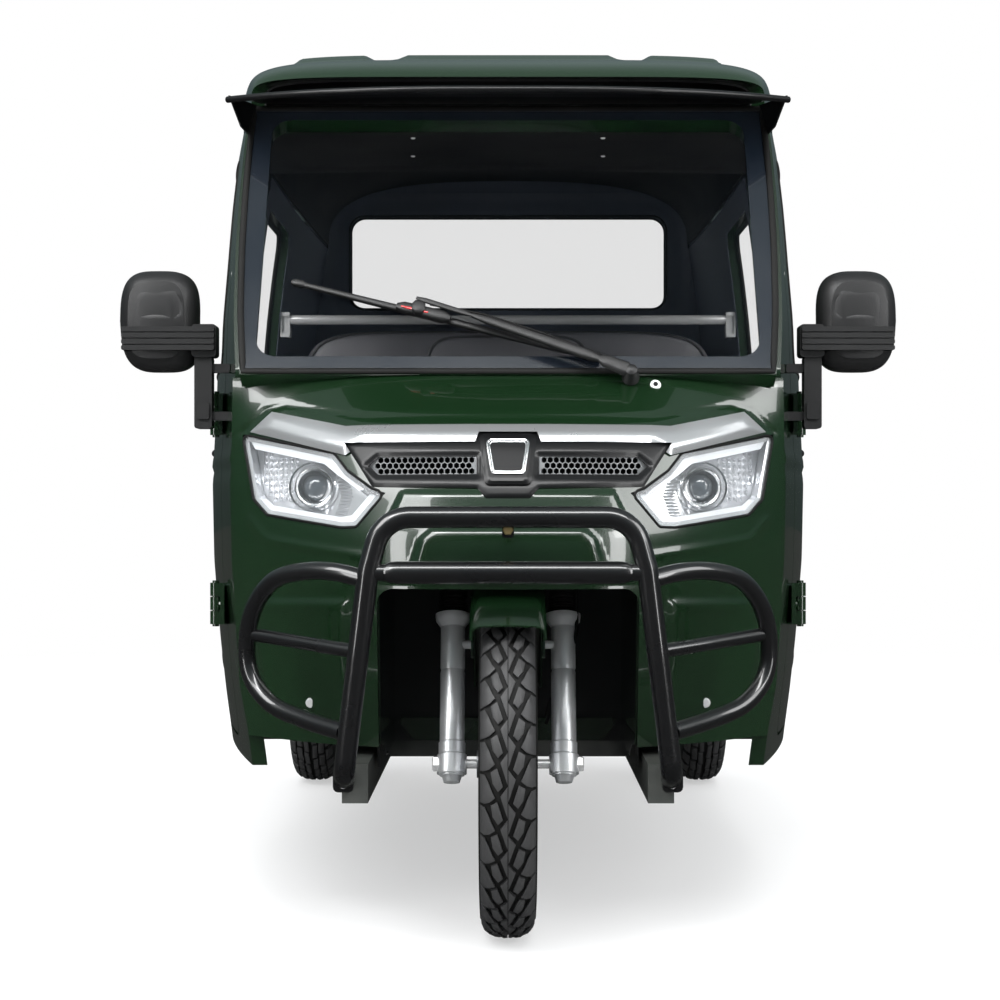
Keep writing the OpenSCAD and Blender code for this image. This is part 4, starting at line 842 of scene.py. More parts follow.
def bull_bar(finish):
    """Round bars with full bends, crossbar sleeve, lug and bolts."""
    bars = [sweep(bend_path(mirror_path([(188, -218, 671), (210, -218, 590), (248, -193, 286),
                                         (250, -158, 272)]), 66, 14),
                  16.5, 28)]
    hoop = smooth_path([(216, -214, 578), (262, -192, 588), (312, -160, 588), (362, -122, 573), (398, -86, 527),
                        (411, -64, 466),
                        (402, -68, 416), (368, -94, 379), (315, -136, 360), (250, -190, 346)], 6)
    bars.append(both(sweep(hoop, 14, 24)))
    bars.append(both(sweep([(230, -197, 468), (410, -64, 488)], 11, 20)))
    bars.append(sweep([(-210, -218, 588), (210, -218, 588)], 13, 20))
    bars.append(sweep([(-186, -219, 588), (-178, -219, 588), (-166, -219, 588), (166, -219, 588),
                       (178, -219, 588),
                       (186, -219, 588)], [12.5, 16, 17.2, 17.2, 16, 12.5], 28))
    bars.append(both(brick((236, -158, 250), (268, -148.3, 290), 8)))
    bars.append(brick((-9, -216, 640), (9, -207, 664), 4))
    put("bull_bar_tubes", join(bars), finish, "black_paint", nodes=["bull_bar"])
    y1 = nose_at(0, 652) - 16
    bolt = join([sweep([(0, -222, 652), (0, y1, 652)], 4, 12),
                 turned([(0, 8), (4, 8.5), (6, 7)], (0, -218, 652), (0, -1, 0), 6)])
    put("bar_lug_bolt", bolt, finish, "brass", slot="stainless")
    heads = [both(turned([(0, 6.5), (3, 6.5), (5, 4)], (252, -156, 262), (0, -1, 0), 20))]
    heads.append(both(turned([(-4, 8), (2, 8), (4.5, 5.5)],
                            (318, nose_at(318, 372) - 3, 372), (0, -1, 0), 24)))
    put("front_bolts", join(heads), finish, "stainless")


# Cab: roof, visor, walls, doors, glazing

ROOF_PADS = [(-395, -255), (-205, 205), (255, 395)]


def roof_power(y):
    """Squareness of the roof's shoulders: boxy over the windscreen, rounder towards the back."""
    return np.interp(y, [ROOF_FRONT, ROOF_FRONT + 500, BACK_Y - 500, BACK_Y - 100], [6.0, 3.8, 3.4, 2.8])


def roof_height(x, y):
    """Height of the plain roof skin."""
    half, power = wall_x(y, RAIL_Z), roof_power(y)
    share = np.clip(np.abs(x) / half, 0, 1)
    return RAIL_Z + roof_rise(y) * (1 - share ** power) ** (1 / power)


def roof_surface(ys, d, cols=121):
    """Rows of points across the roof, from one rail to the other."""
    t = math.pi - np.linspace(0, math.pi, cols)
    c, s = np.cos(t), np.sin(t)
    rows = []
    for y, share in ys:
        half = wall_at(y, RAIL_Z) - d
        power = float(roof_power(y))
        x = half * np.sign(c) * np.abs(c) ** (2 / power)
        z = RAIL_Z + (float(roof_rise(y)) - d) * share * np.abs(s) ** (2 / power)
        rows.append(np.stack([x, np.full_like(x, y), z], 1))
    return np.array(rows)


def roof_shell(finish):
    """Roof skin with pressed pads, headliner, ceiling panel, screws and cable grommet."""
    front, last = ROOF_FRONT, BACK_Y - 25
    inner_ys = [(y, 1.0) for y in np.linspace(front + 25, last, 150)]
    eased = [(front, 0.74), (front + 9, 0.85), (front + 20, 0.93), (front + 34, 0.975), (front + 48, 0.995)]
    outer_ys = eased + [(y, 1.0) for y in np.linspace(front + 62, last, 145)]
    outer = roof_surface(outer_ys, 0)
    for x0, x1 in ROOF_PADS:
        y0, y1 = front + 150, BACK_Y - 190
        pad = signed_inside(outer[..., 0], outer[..., 1], [(x0, y0), (x1, y0), (x1, y1), (x0, y1)])
        outer[..., 2] += 9 * smoothstep(pad, -2, 13)
    inner = roof_surface(inner_ys, 25)
    put("roof_skin", grid_slab(outer, inner), finish, "green_paint", nodes=["roof"])
    lining = roof_surface([(y, 1.0) for y in np.linspace(front + 28, last - 3, 90)], 25.6)
    below = roof_surface([(y, 1.0) for y in np.linspace(front + 28, last - 3, 90)], 28.5)
    put("headliner", grid_slab(lining, below), finish, "headliner", slot="black_plastic")
    ys = np.linspace(374, 900, 14)
    ceiling = [(wall_at(y, 1372) - 29, y) for y in ys] + [(29 - wall_at(y, 1372), y) for y in reversed(ys)]
    pressed = flat_round([(-400, 410), (400, 410), (430, 860), (-430, 860)], 40)

    def ceiling_layer(z):
        def points(x, y):
            return np.stack([x, y, z + 3 * smoothstep(signed_inside(x, y, pressed), -5, 8) + 5
                             * (1 - (x / 460) ** 2)], 1)
        return points
    put("ceiling_panel", tile(ceiling, 13, ceiling_layer(1366), ceiling_layer(1370)), finish, "headliner",
        slot="black_plastic")
    screws = []
    for x, y in ((176, 529), (185, 727)):
        z = 1366 + 3 + 5 * (1 - (x / 460) ** 2)
        screws.append(both(turned([(0, 4.6), (1.6, 4.2), (2.6, 2.6)], (x, y, z + 0.5), (0, 0, -1), 16)))
    put("headliner_screws", join(screws), finish, "white_plastic", slot="stainless")
    top = float(roof_height(168, 560))
    spike = sweep([(168, 560, top - 2), (168, 560, top + 6)], 9, 16)
    put("roof_grommet", spike, finish, "rubber")


def visor(finish):
    """Curved blade over the windscreen with ribs, a rolled lip and end brackets."""
    u, v = np.meshgrid(np.linspace(-1, 1, 97), np.linspace(1, 0, 25), indexing="ij")
    root = np.stack([u * 440, np.full_like(u, ROOF_FRONT - 0.3), np.full_like(u, RAIL_Z + 11)], -1)
    lip = np.stack([u * 483, 80 + 170 * np.abs(u) ** 2.4, RAIL_Z - 23 + 16 * u ** 2], -1)
    top = (1 - v[..., None]) * root + v[..., None] * lip
    top[..., 2] += 5 * np.sin(np.pi * v)
    top[..., 2] += 2.0 * (np.exp(-((v - 0.3) / 0.05) ** 2) + np.exp(-((v - 0.55) / 0.05) ** 2)) * (1 - u ** 8)
    low = top - np.array([0, 0, 7.0])
    parts = [grid_slab(top, low)]
    rim = [Vector(p) + Vector((0, 0, -3.5)) for p in lip[:, 0]]
    parts.append(sweep(rim, 5.6, 14))
    tip = [(480, 246, 1396), (476, 262, 1384), (466, 300, 1352), (452, 350, 1340), (446, 356, 1400)]
    outer = [Vector(p) for p in tip]
    parts.append(both(loft([[p + Vector((1.5, 0, 0)) for p in outer],
                            [p - Vector((1.5, 0, 0)) for p in outer]])))
    put("visor_blade", join(parts), finish, "gloss_black", nodes=["visor"])


FRAME_BACK = 40 / SCREEN_COS
SIDE_FRONT = float(screen_y(RAIL_Z)) + FRAME_BACK + 1
SIDE_LOW = COWL_Z + (150 + 3 - 101 - FRAME_BACK) / SCREEN_SLOPE
DOOR_Y, DOOR_END, DOOR_LOW, DOOR_TOP = 305.0, 1080.0, 290.0, 1372.0


def door_outline(g):
    """Door edge, grown by g."""
    f = FRAME_BACK + 62
    low = COWL_Z + (DOOR_Y - 100 - f) / SCREEN_SLOPE
    return flat_round([(DOOR_Y - g, DOOR_LOW - g), (DOOR_END + g, DOOR_LOW - g), (DOOR_END + g, DOOR_TOP + g),
                       (float(screen_y(DOOR_TOP)) + f - g, DOOR_TOP + g), (DOOR_Y - g, low)], 45 + g)


def door_window(g):
    """Door window edge, shrunk by g."""
    f = FRAME_BACK + 124
    y0, top = DOOR_Y + 80, DOOR_TOP - 48
    low = COWL_Z + (y0 - 100 - f) / SCREEN_SLOPE
    return flat_round([(y0 + g, WINDOW_Z + g), (DOOR_END - 60 - g, WINDOW_Z + g), (DOOR_END - 60 - g, top - g),
                       (float(screen_y(top)) + f + g, top - g), (y0 + g, low)], 40)


def quarter_window(g):
    """Rear side window edge, shrunk by g."""
    y0, y1, top = DOOR_END + 66, 1572, DOOR_TOP - 42
    return flat_round([(y0 + g, WINDOW_Z + g), (y1 - g, WINDOW_Z + g), (y1 - g, top - g), (y0 + g, top - g)],
                      40)


def wall_relief(y, z):
    """Pressed swage lines along the side."""
    lines = ((2.6, 770, 9), (-2.2, 752, 7), (1.6, 400, 8))
    return sum(height * np.exp(-((z - level) / width) ** 2) for height, level, width in lines)


def wall_slab(y0, y1, z0, z1, outer=0.0, inner=WALL_T, step=11.0, relief=None):
    """A curved panel that follows the left wall."""
    ys = np.linspace(y0, y1, int((y1 - y0) / step) + 2)
    zs = np.linspace(z0, z1, int((z1 - z0) / step) + 2)
    y, z = np.meshgrid(ys, zs, indexing="ij")
    lift = relief(y, z) if relief else 0
    face = np.stack([wall_x(y, z) - outer + lift, y, z], -1)
    back = np.stack([wall_x(y, z) - inner, y, z], -1)
    return grid_slab(face, back)


def mirror_piece(piece, name, material, body, nodes, slot):
    """The mirror image of a finished piece, as a piece of its own."""
    mesh = piece.data.copy()
    work = bmesh.new()
    work.from_mesh(mesh)
    for v in work.verts:
        v.co.x = -v.co.x
    bmesh.ops.reverse_faces(work, faces=work.faces)
    work.to_mesh(mesh)
    work.free()
    return finish_mesh(name, mesh, material, body, nodes=nodes, slot=slot)


def circle(cy, cz, r, n=72):
    """A circle as an outline."""
    return [(cy + r * c, cz + r * s) for c, s in compass(n)]


HINGE_X, HINGE_Y = float(side_x(DOOR_Y)) + 8, DOOR_Y - 3
HINGE_LEVELS = (520, 850)


def side_walls(finish):
    """Side panels with door opening, rear side window and wheel arch, and their hinges."""
    wall = put("side_skin_left", wall_slab(153.5, BACK_Y - 25, 255, RAIL_Z, relief=wall_relief), finish,
               "green_paint", nodes=["side_left"])
    profile = [(153, 254), (153, SIDE_LOW), (SIDE_FRONT, RAIL_Z + 1), (BACK_Y - 24.5, RAIL_Z + 1),
               (BACK_Y - 24.5, 306),
               (2290, 306), (2260, 254)]
    cut(wall, [side_cutter(profile)], "INTERSECT")
    cut(wall, [side_cutter(door_outline(6)), side_cutter(quarter_window(0))])
    cut(wall, [side_cutter(circle(REAR_Y, AXLE_Z, ARCH_R))])
    mirror_piece(wall, "side_skin_right", finish["green_paint"], "body", ["side_right"], "green_paint")
    lips = []
    for t in np.linspace(math.radians(6), math.radians(174), 60):
        y, z = REAR_Y + (ARCH_R + 9) * math.cos(t), AXLE_Z + (ARCH_R + 9) * math.sin(t)
        if y < BACK_Y - 26:
            lips.append((wall_at(y, z) + 3, y, z))
    arch = both(sweep(lips, 7.5, 12))
    put("arch_lips", arch, finish, "green_paint")
    parts = []
    for z in HINGE_LEVELS:
        skin = wall_at(DOOR_Y, z) - 4
        for dz in (-36, 13):
            parts.append(turned([(0, 10), (23, 10)], (HINGE_X, HINGE_Y, z + dz), (0, 0, 1), 24))
            parts.append(brick((skin, HINGE_Y - 14, z + dz), (HINGE_X, HINGE_Y, z + dz + 23)))
        parts.append(brick((skin, HINGE_Y - 46, z - 34), (skin + 7, HINGE_Y - 10, z + 34), 5))
        parts.append(turned([(0, 6), (80, 6)], (HINGE_X, HINGE_Y, z - 40), (0, 0, 1), 24))
        for dy in (-38, -24):
            parts.append(turned([(0, 5), (3, 4)], (skin + 7, HINGE_Y + dy, z), (1, 0, 0), 6))
    put("hinge_leaves", both(join(parts)), finish, "green_paint")


def doors(finish):
    """Doors with pressed skins, hinges and pull handles."""
    panel = put("door_skin_left", wall_slab(DOOR_Y - 5, DOOR_END + 5, DOOR_LOW - 5, DOOR_TOP + 5,
                                            relief=wall_relief), finish, "green_paint", "door_l",
                                            nodes=["door_left"])
    cut(panel, [side_cutter(door_outline(0))], "INTERSECT")
    cut(panel, [side_cutter(door_window(0))])
    mirror_piece(panel, "door_skin_right", finish["green_paint"], "door_r", ["door_right"], "green_paint")
    parts, hinges = [], []
    for z in HINGE_LEVELS:
        hinges.append(lathe([(0, 6.3), (0, 10), (23, 10), (23, 6.3)], (HINGE_X, HINGE_Y, z - 11.5), (0, 0, 1),
                            24))
        hinges.append(brick((wall_at(DOOR_Y, z) - 2, HINGE_Y + 7, z - 11.5),
                            (HINGE_X + 2, HINGE_Y + 46, z + 11.5)))
        for dy in (18, 34):
            hinges.append(turned([(0, 5), (3, 4)], (HINGE_X + 2, HINGE_Y + dy, z), (1, 0, 0), 6))
    hx = wall_at(DOOR_END - 95, 800)
    mid = DOOR_END - 95
    parts.append(sweep(bend_path([(hx - 3, mid - 54, 800), (hx + 17, mid - 54, 800), (hx + 17, mid + 54, 800),
                                  (hx - 3, mid + 54, 800)], 10, 6), 8, 16))
    parts.append(turned([(0, 11), (2, 11), (4, 9)], (hx - 0.5, mid + 20, 760), (1, 0, 0), 28))
    ix = wall_at(DOOR_END - 200, 760) - 25
    parts.append(sweep(bend_path([(ix + 2, DOOR_END - 256, 761), (ix - 26, DOOR_END - 256, 761),
                                  (ix - 26, DOOR_END - 144, 761), (ix + 2, DOOR_END - 144, 761)], 12, 6), 8,
                                  14))
    for name, part, key in (("door_fittings_", join(parts), "black_plastic"),
                            ("door_hinges_", join(hinges), "green_paint")):
        put(name + "left", part, finish, key, "door_l")
        put(name + "right", mirrored(part), finish, key, "door_r")


def window_seals(finish):
    """Rubber beading round each door window and rear side window, a few millimetres proud."""
    for side, door in (("left", "door_l"), ("right", "door_r")):
        for outline, body, name in ((door_window(1.5), door, "door_window_seal_"),
                                    (quarter_window(1.5), "body", "quarter_window_seal_")):
            line = [Vector((wall_at(y, z) - 3.0, y, z)) for y, z in resample(outline, 25)]
            seal = bead(line, (1, 0, 0), 5.0, 6.5, 8)
            put(name + side, mirrored(seal) if side == "right" else seal, finish, "rubber", body)


def rear_window_ring(g, n=7):
    """Rear window edge, shrunk by g."""
    return flat_round([(-424 + g, 1225 + g), (424 - g, 1225 + g), (424 - g, 1475 - g), (-424 + g, 1475 - g)],
                      40 - g, n)


def rear_lining(finish):
    """Dark inner panel of the rear wall with pressed ribs, and the rear window's bead."""
    rows = [(wall_at(2290, z) - 27, z) for z in np.linspace(466, 1392, 24)]
    t = np.linspace(0.06, math.pi / 2, 24)
    half, rise = wall_at(2290, RAIL_Z) - 27, float(roof_rise(2290)) - 29
    dome = [(half * math.cos(a) ** (2 / 2.8), RAIL_Z + rise * math.sin(a) ** (2 / 2.8)) for a in t[:-1]]
    right = rows + dome
    outline = right + [(0.0, RAIL_Z + rise)] + flip(right)

    def surface_at(base):
        def points(x, z):
            window = -signed_inside(x, z, rear_window_ring(0))
            lift = 9 * (1 - smoothstep(window, 18, 30)) + 5 * np.exp(-((window - 62) / 9) ** 2)
            for level in (560, 660, 760, 860, 960, 1060, 1150):
                lift = lift + 4 * smoothstep(430 - np.abs(x), 0, 30) * np.exp(-((z - level) / 13) ** 4)
            return np.stack([x, BACK_Y - 34 - lift + base, z], 1)
        return points
    panel = put("rear_lining", tile(outline, 14, surface_at(0), surface_at(1.6)), finish, "cab_lining",
                slot="black_plastic")
    cut(panel, [prism_y(rear_window_ring(0), 2200, 2400)])
    for name, y in (("rear_window_seal", BACK_Y + 1), ("rear_window_inner_seal", BACK_Y - 44)):
        line = [Vector((x, y, z)) for x, z in rear_window_ring(0, 9)]
        put(name, bead(line, (0, 1, 0), 5, 3.5, 10, math.pi / 2), finish, "rubber")


SCREEN_L = (RAIL_Z - COWL_Z) / SCREEN_COS
SCREEN_NORMAL = (0, -SCREEN_COS, SCREEN_SIN)


def screen_half(v, inset):
    """Half the windscreen width at v up its slant."""
    z = COWL_Z + v * SCREEN_COS
    return wall_at(float(screen_y(z)), z) - inset


def windscreen(finish):
    """Black edge band, rubber seal and washer jet of the windscreen."""
    steps = np.linspace(14, SCREEN_L - 12, 16)
    band = [(screen_half(v, 9), v) for v in steps] + [(-screen_half(v, 9), v) for v in reversed(steps)]

    def layer(w):
        return lambda x, v: np.stack(on_screen(x, v, w + 0 * v), 1)
    piece = put("glass_edge_band", tile(band, 25, layer(-0.45), layer(-0.68)), finish, "edge_band",
                slot="gloss_black")
    clear = flat_round([(-420, 38), (420, 38), (415, SCREEN_L - 32), (-415, SCREEN_L - 32)], 34, 9)
    cut(piece, [loft([[on_screen(x, v, w) for x, v in clear] for w in (-6, 4)])])
    vs = np.linspace(3, SCREEN_L - 0.5, 24)
    outline = [(screen_half(v, 0.3), v) for v in vs] + [(-screen_half(v, 0.3), v) for v in reversed(vs)]
    ring = tile(outline, 30, layer(-6.2), layer(-40))
    frame_piece = put("screen_surround", ring, finish, "green_paint", nodes=["windscreen_frame"])
    opening = flat_round([(-424, 34), (424, 34), (419, SCREEN_L - 28), (-419, SCREEN_L - 28)], 34, 9)
    cut(frame_piece, [loft([[on_screen(x, v, w) for x, v in opening] for w in (-60, 10)])])
    rim = []
    for x, v in outline:
        inner = (x - math.copysign(4.2, x), min(max(v, 7), SCREEN_L - 5))
        rim.append([on_screen(x, v, 0), on_screen(x, v, -6.4), on_screen(*inner, -6.4), on_screen(*inner, 0)])
    put("screen_surround_rim", loft(rim, closed=True), finish, "green_paint")
    edge = [Vector(on_screen(screen_half(v, 6), v, 1.0)) for v in np.linspace(9, SCREEN_L - 8, 30)]
    ring = edge + [Vector((-p.x, p.y, p.z)) for p in reversed(edge)]
    seal = bead(resample(ring, 30), SCREEN_NORMAL, 3.2, 5.5, 12)
    put("screen_bead", seal, finish, "rubber", nodes=["windscreen_seal"])
    x, z = 243.0, 888.0
    y = nose_at(x, z)
    jet = turned([(-4, 9), (2, 9), (5, 6.5)], (x, y, z), (0, -1, 0.4), 24)
    put("washer_jet", jet, finish, "white_plastic", slot="stainless")
    hole = turned([(-4, 4), (6, 4)], (x, y, z), (0, -1, 0.4), 16)
    put("washer_nozzle", hole, finish, "rubber")


def screen_bar(p, q, wide, high, w, n=10):
    """A tapered bar on the windscreen's plane from p to q, with rounded section."""
    d = Vector((q[0] - p[0], q[1] - p[1], 0)).normalized()
    side = Vector((-d.y, d.x, 0))
    rings = []
    for k in range(n + 1):
        t = k / n
        centre = Vector((*p, 0)).lerp(Vector((*q, 0)), t)
        a, b = wide[0] + (wide[1] - wide[0]) * t, high[0] + (high[1] - high[0]) * t
        ends = 0.55 if k in (0, n) else 1
        base = w[0] + (w[1] - w[0]) * t
        rings.append([on_screen(*(centre + side * u * ends)[:2], base + v * ends) for u,
                      v in superellipse(a / 2, b / 2, 3.5, 16)])
    return loft(rings)


def wiper(finish):
    """Wiper arm, linkage, blade and washer hose on the glass."""
    pivot, joint = (202, -7), (-153, 136)
    a, b = (-365, 180), (152, 27)
    parts = [turned([(0, 15), (8, 14), (18, 12), (27, 10), (30, 5)], on_screen(*pivot, 6),
                   SCREEN_NORMAL, 32)]
    knee = (150, 14)
    parts.append(screen_bar(pivot, knee, (26, 20), (12, 12), (28, 32), 6))
    parts.append(screen_bar(knee, (-60, 99), (19, 13), (11, 9), (32, 31), 8))
    parts.append(screen_bar((-60, 99), joint, (9, 9), (5, 5), (31, 27), 6))
    parts.append(screen_bar((70, 50), (-20, 86), (5, 5), (5, 5), (25, 25), 4))
    parts.append(screen_bar((-186, 127), (-96, 100), (19, 21), (15, 17), (16, 18), 8))
    parts.append(screen_bar((-160, 119), (-138, 118), (26, 26), (14, 14), (24, 24), 4))
    mid = ((a[0] + b[0]) / 2, (a[1] + b[1]) / 2)
    parts.append(screen_bar(a, mid, (9, 13), (8, 11), (8, 9), 14))
    parts.append(screen_bar(mid, b, (13, 9), (11, 8), (9, 8), 14))
    parts.append(screen_bar(a, b, (3, 3), (6, 6), (3.4, 3.4), 20))
    for end, nxt in ((a, mid), (b, mid)):
        t = 26 / math.dist(end, nxt)
        parts.append(screen_bar(end, (end[0] + (nxt[0] - end[0]) * t, end[1] + (nxt[1] - end[1]) * t), (13, 13),
                                (11, 11),
                                (8.5, 8.5), 4))
    put("wiper_arm_and_blade", join(parts), finish, "black_plastic", nodes=["wiper"])
    tag = screen_bar((-178, 121), (-133, 108), (4.5, 4.5), (3, 3), (24.5, 25.5), 3)
    put("wiper_clip", tag, finish, "red_lamp")
    hose = [on_screen(206, -2, 14), on_screen(150, 26, 26), on_screen(60, 66, 26), on_screen(-40, 104, 25),
            on_screen(-130, 126, 22)]
    put("washer_hose", sweep(bend_path(hose, 40, 6), 2.2, 10), finish, "rubber")


def mirror_heads(finish):
    """Mirror shells with a blank recess, grooved arms, brackets and glass."""
    cx, cz, back = 600.0, 1007.0, 272.0
    shape = [(0, 62, 80), (3, 66, 85), (8, 68, 87), (20, 67.6, 86.8), (34, 66, 86), (46, 60, 79.5),
             (56, 50, 70),
             (62, 40, 57), (66, 28, 42)]
    pill = flat_round([(cx - 43, 1014), (cx + 29, 1014), (cx + 29, 1045), (cx - 43, 1045)], 9, 5)
    rings = []
    for depth, a, b in shape:
        rings.append([(cx + p[0] + (0.06 if p[1] < 0 else -0.02) * p[1], back - depth, cz + p[1])
                      for p in superellipse(a, b, 3.4, 72)])
    hollow = [[(cx + p[0], back - d, cz + p[1]) for p in superellipse(a, b, 3.4, 72)] for d, a,
              b in ((8, 56, 74), (0, 58, 77))]
    shell = loft(list(reversed(rings)) + list(reversed(hollow)))
    def face(y):
        return lambda x, z: np.stack([x, y + 0.0028 * (x - cx) ** 2 + 0.0012 * (z - cz) ** 2 - 2.2
                                      + 3 * smoothstep(signed_inside(x, z, pill), -1, 3), z], 1)
    plate_ring = [(cx + p[0], cz + p[1]) for p in superellipse(48, 66, 3.6, 60)]
    plate = tile(plate_ring, 4, face(206.5), face(211.5))
    arm = []
    for z in (955, 965.5, 976, 986.5):
        arm.append(brick((500, 203, z), (658, 232, z + 8.5), 3))
    arm.append(brick((500, 206, 955), (657, 230, 994), 4))
    arm.append(brick((498, 214, 944), (540, 256, 1000), 6))
    foot = []
    for z in (836, 918):
        foot.append(brick((476, 226, z), (510, 246, z + 15), 3))
    foot.append(brick((506, 220, 822), (536, 252, 946), 5))
    foot.append(brick((510, 216, 838), (531, 221, 866), 4))
    put("mirror_shells", both(join([shell, plate] + arm + foot)), finish, "black_plastic", nodes=["mirrors"])
    disc = [(cx + p[0], cz + p[1]) for p in superellipse(56, 74, 3.4, 60)]
    put("mirror_glass", both(prism_y(disc, 265, 268)), finish, "mirror_face", slot="lamp_metal")


# Running gear

# Repeats of the tread pattern round a tyre, and the height of a tyre's wall
PITCHES = 34
TYRE_WALL = TYRE_R - RIM_R


def tyre_crown(x, w):
    """Radius of the tread surface at a distance from the tyre's middle."""
    drops = (0, 0.02, 0.09, 0.22, 0.5)
    return np.interp(np.abs(x) / w, [0, 0.22, 0.40, 0.485, 0.5],
                     [TYRE_R - share * TYRE_WALL for share in drops])


def tyre_piece(name, x0, y0, w, pitches, blocks, body, node, finish, groove=7.0):
    """A tyre carcass with moulded rings on its walls and rows of separate tread blocks."""
    h = TYRE_WALL
    half = [(RIM_R + 0.3, 0.37), (169, 0.375), (171, 0.40), (177, 0.405), (179, 0.425),
            (RIM_R + 0.24 * h, 0.45),
            (RIM_R + 0.26 * h, 0.458), (RIM_R + 0.31 * h, 0.466), (RIM_R + 0.33 * h, 0.474),
            (RIM_R + 0.5 * h, 0.498),
            (RIM_R + 0.62 * h, 0.495), (TYRE_R - 0.27 * h, 0.487)]
    lowered = [(float(tyre_crown(s * w, w)) - groove, s) for s in (0.465, 0.44, 0.40, 0.31, 0.22, 0.11, 0.0)]
    right = half + lowered
    profile = [(s * w, r) for r, s in right] + [(-s * w, r) for r, s in reversed(right[:-1])]
    profile += [(-0.34 * w, 162), (0.34 * w, 162)]
    carcass = lathe(profile, (x0, y0, AXLE_Z), (1, 0, 0), 112)
    # The carcass, groove floors and walls, takes the near-black rubber, darker than the tread blocks: painted
    # shade in the grooves between blocks
    put(name + "_carcass", carcass, finish, "rubber", body, slot="tyre")
    pitch = 2 * math.pi * TYRE_R / pitches
    copies = []
    for outline, shift in blocks:
        outline = [(s * pitch, x * w) for s, x in outline]

        def ring_at(drop):
            def points(s, x):
                depth = signed_inside(s, x, outline)
                r = tyre_crown(x, w) - drop - (1.3 * (1 - smoothstep(depth, 0, 2.0)) if drop == 0 else 0)
                a = (s / TYRE_R) + shift * pitch / TYRE_R
                return np.stack([x, r * np.sin(a), r * np.cos(a)], 1)
            return points
        block, faces = tile(outline, 8, ring_at(0), ring_at(groove + 3))
        block = np.array(block)
        for c, s in compass(pitches):
            turned = np.stack([block[:, 0] + x0, block[:, 1] * c - block[:, 2] * s + y0,
                               block[:, 1] * s + block[:, 2] * c + AXLE_Z], 1)
            copies.append((turned.tolist(), faces))
    put(name, join(copies), finish, "tyre", body, nodes=[node])


def flipped(blocks):
    """Tread blocks mirrored across the tyre."""
    return [([(s, -x) for s, x in reversed(o)], shift) for o, shift in blocks]


def tyres(finish, depth):
    """Front tyre with staggered zigzag blocks, rear tyres with a broader pattern."""
    spine = ([(0.02, 0.007), (0.95, 0.007), (0.66, 0.125)], 0.0)
    diamond = ([(-0.19, 0.165), (-0.04, 0.085), (0.28, 0.14), (0.50, 0.18), (0.38, 0.285), (0.05, 0.255)], 0.0)
    shoulder = ([(0.47, 0.31), (0.62, 0.215), (0.80, 0.265), (1.08, 0.325), (1.30, 0.385), (1.33, 0.465),
                 (0.42, 0.465),
                 (0.42, 0.385)], 0.0)
    right = [spine, diamond, shoulder]
    left = [(o, shift + 0.5) for o, shift in flipped(right)]
    tyre_piece("front_tyre_tread", 0, 0, FRONT_TYRE_W, PITCHES, right + left, "front_wheel_assembly",
               "front_tyre", finish, depth)
    rib = [([(0.04, 0.03), (0.93, 0.05), (0.96, 0.15), (0.07, 0.13)], 0.0)]
    outer = [([(0.10, 0.17), (0.90, 0.19), (0.86, 0.31), (0.06, 0.29)], 0.3),
             ([(0.06, 0.335), (0.84, 0.335), (0.80, 0.475), (0.12, 0.475)], 0.7)]
    for s, side in ((1, "left"), (-1, "right")):
        tyre_piece("rear_tyre_tread_" + side, s * REAR_TRACK_HALF, REAR_Y, REAR_TYRE_W, PITCHES,
                   rib + outer + [(o, t + 0.5) for o, t in
                   flipped(rib + outer)], "rear_wheel_" + side[0], "rear_tyre_" + side, finish, depth + 1)


def steer_lathe(profile, x, y, z, n=40):
    """A turned part whose axis lies along the steering axis at (x, y, z) of its own frame."""
    return lathe(profile, steer(x, y, z), Vector(steer(0, 0, 1)) - Vector(steer(0, 0, 0)), n)


def steer_turned(profile, x, y, z, n=40):
    """A solid turned part along the steering axis."""
    return turned(profile, steer(x, y, z), Vector(steer(0, 0, 1)) - Vector(steer(0, 0, 0)), n)


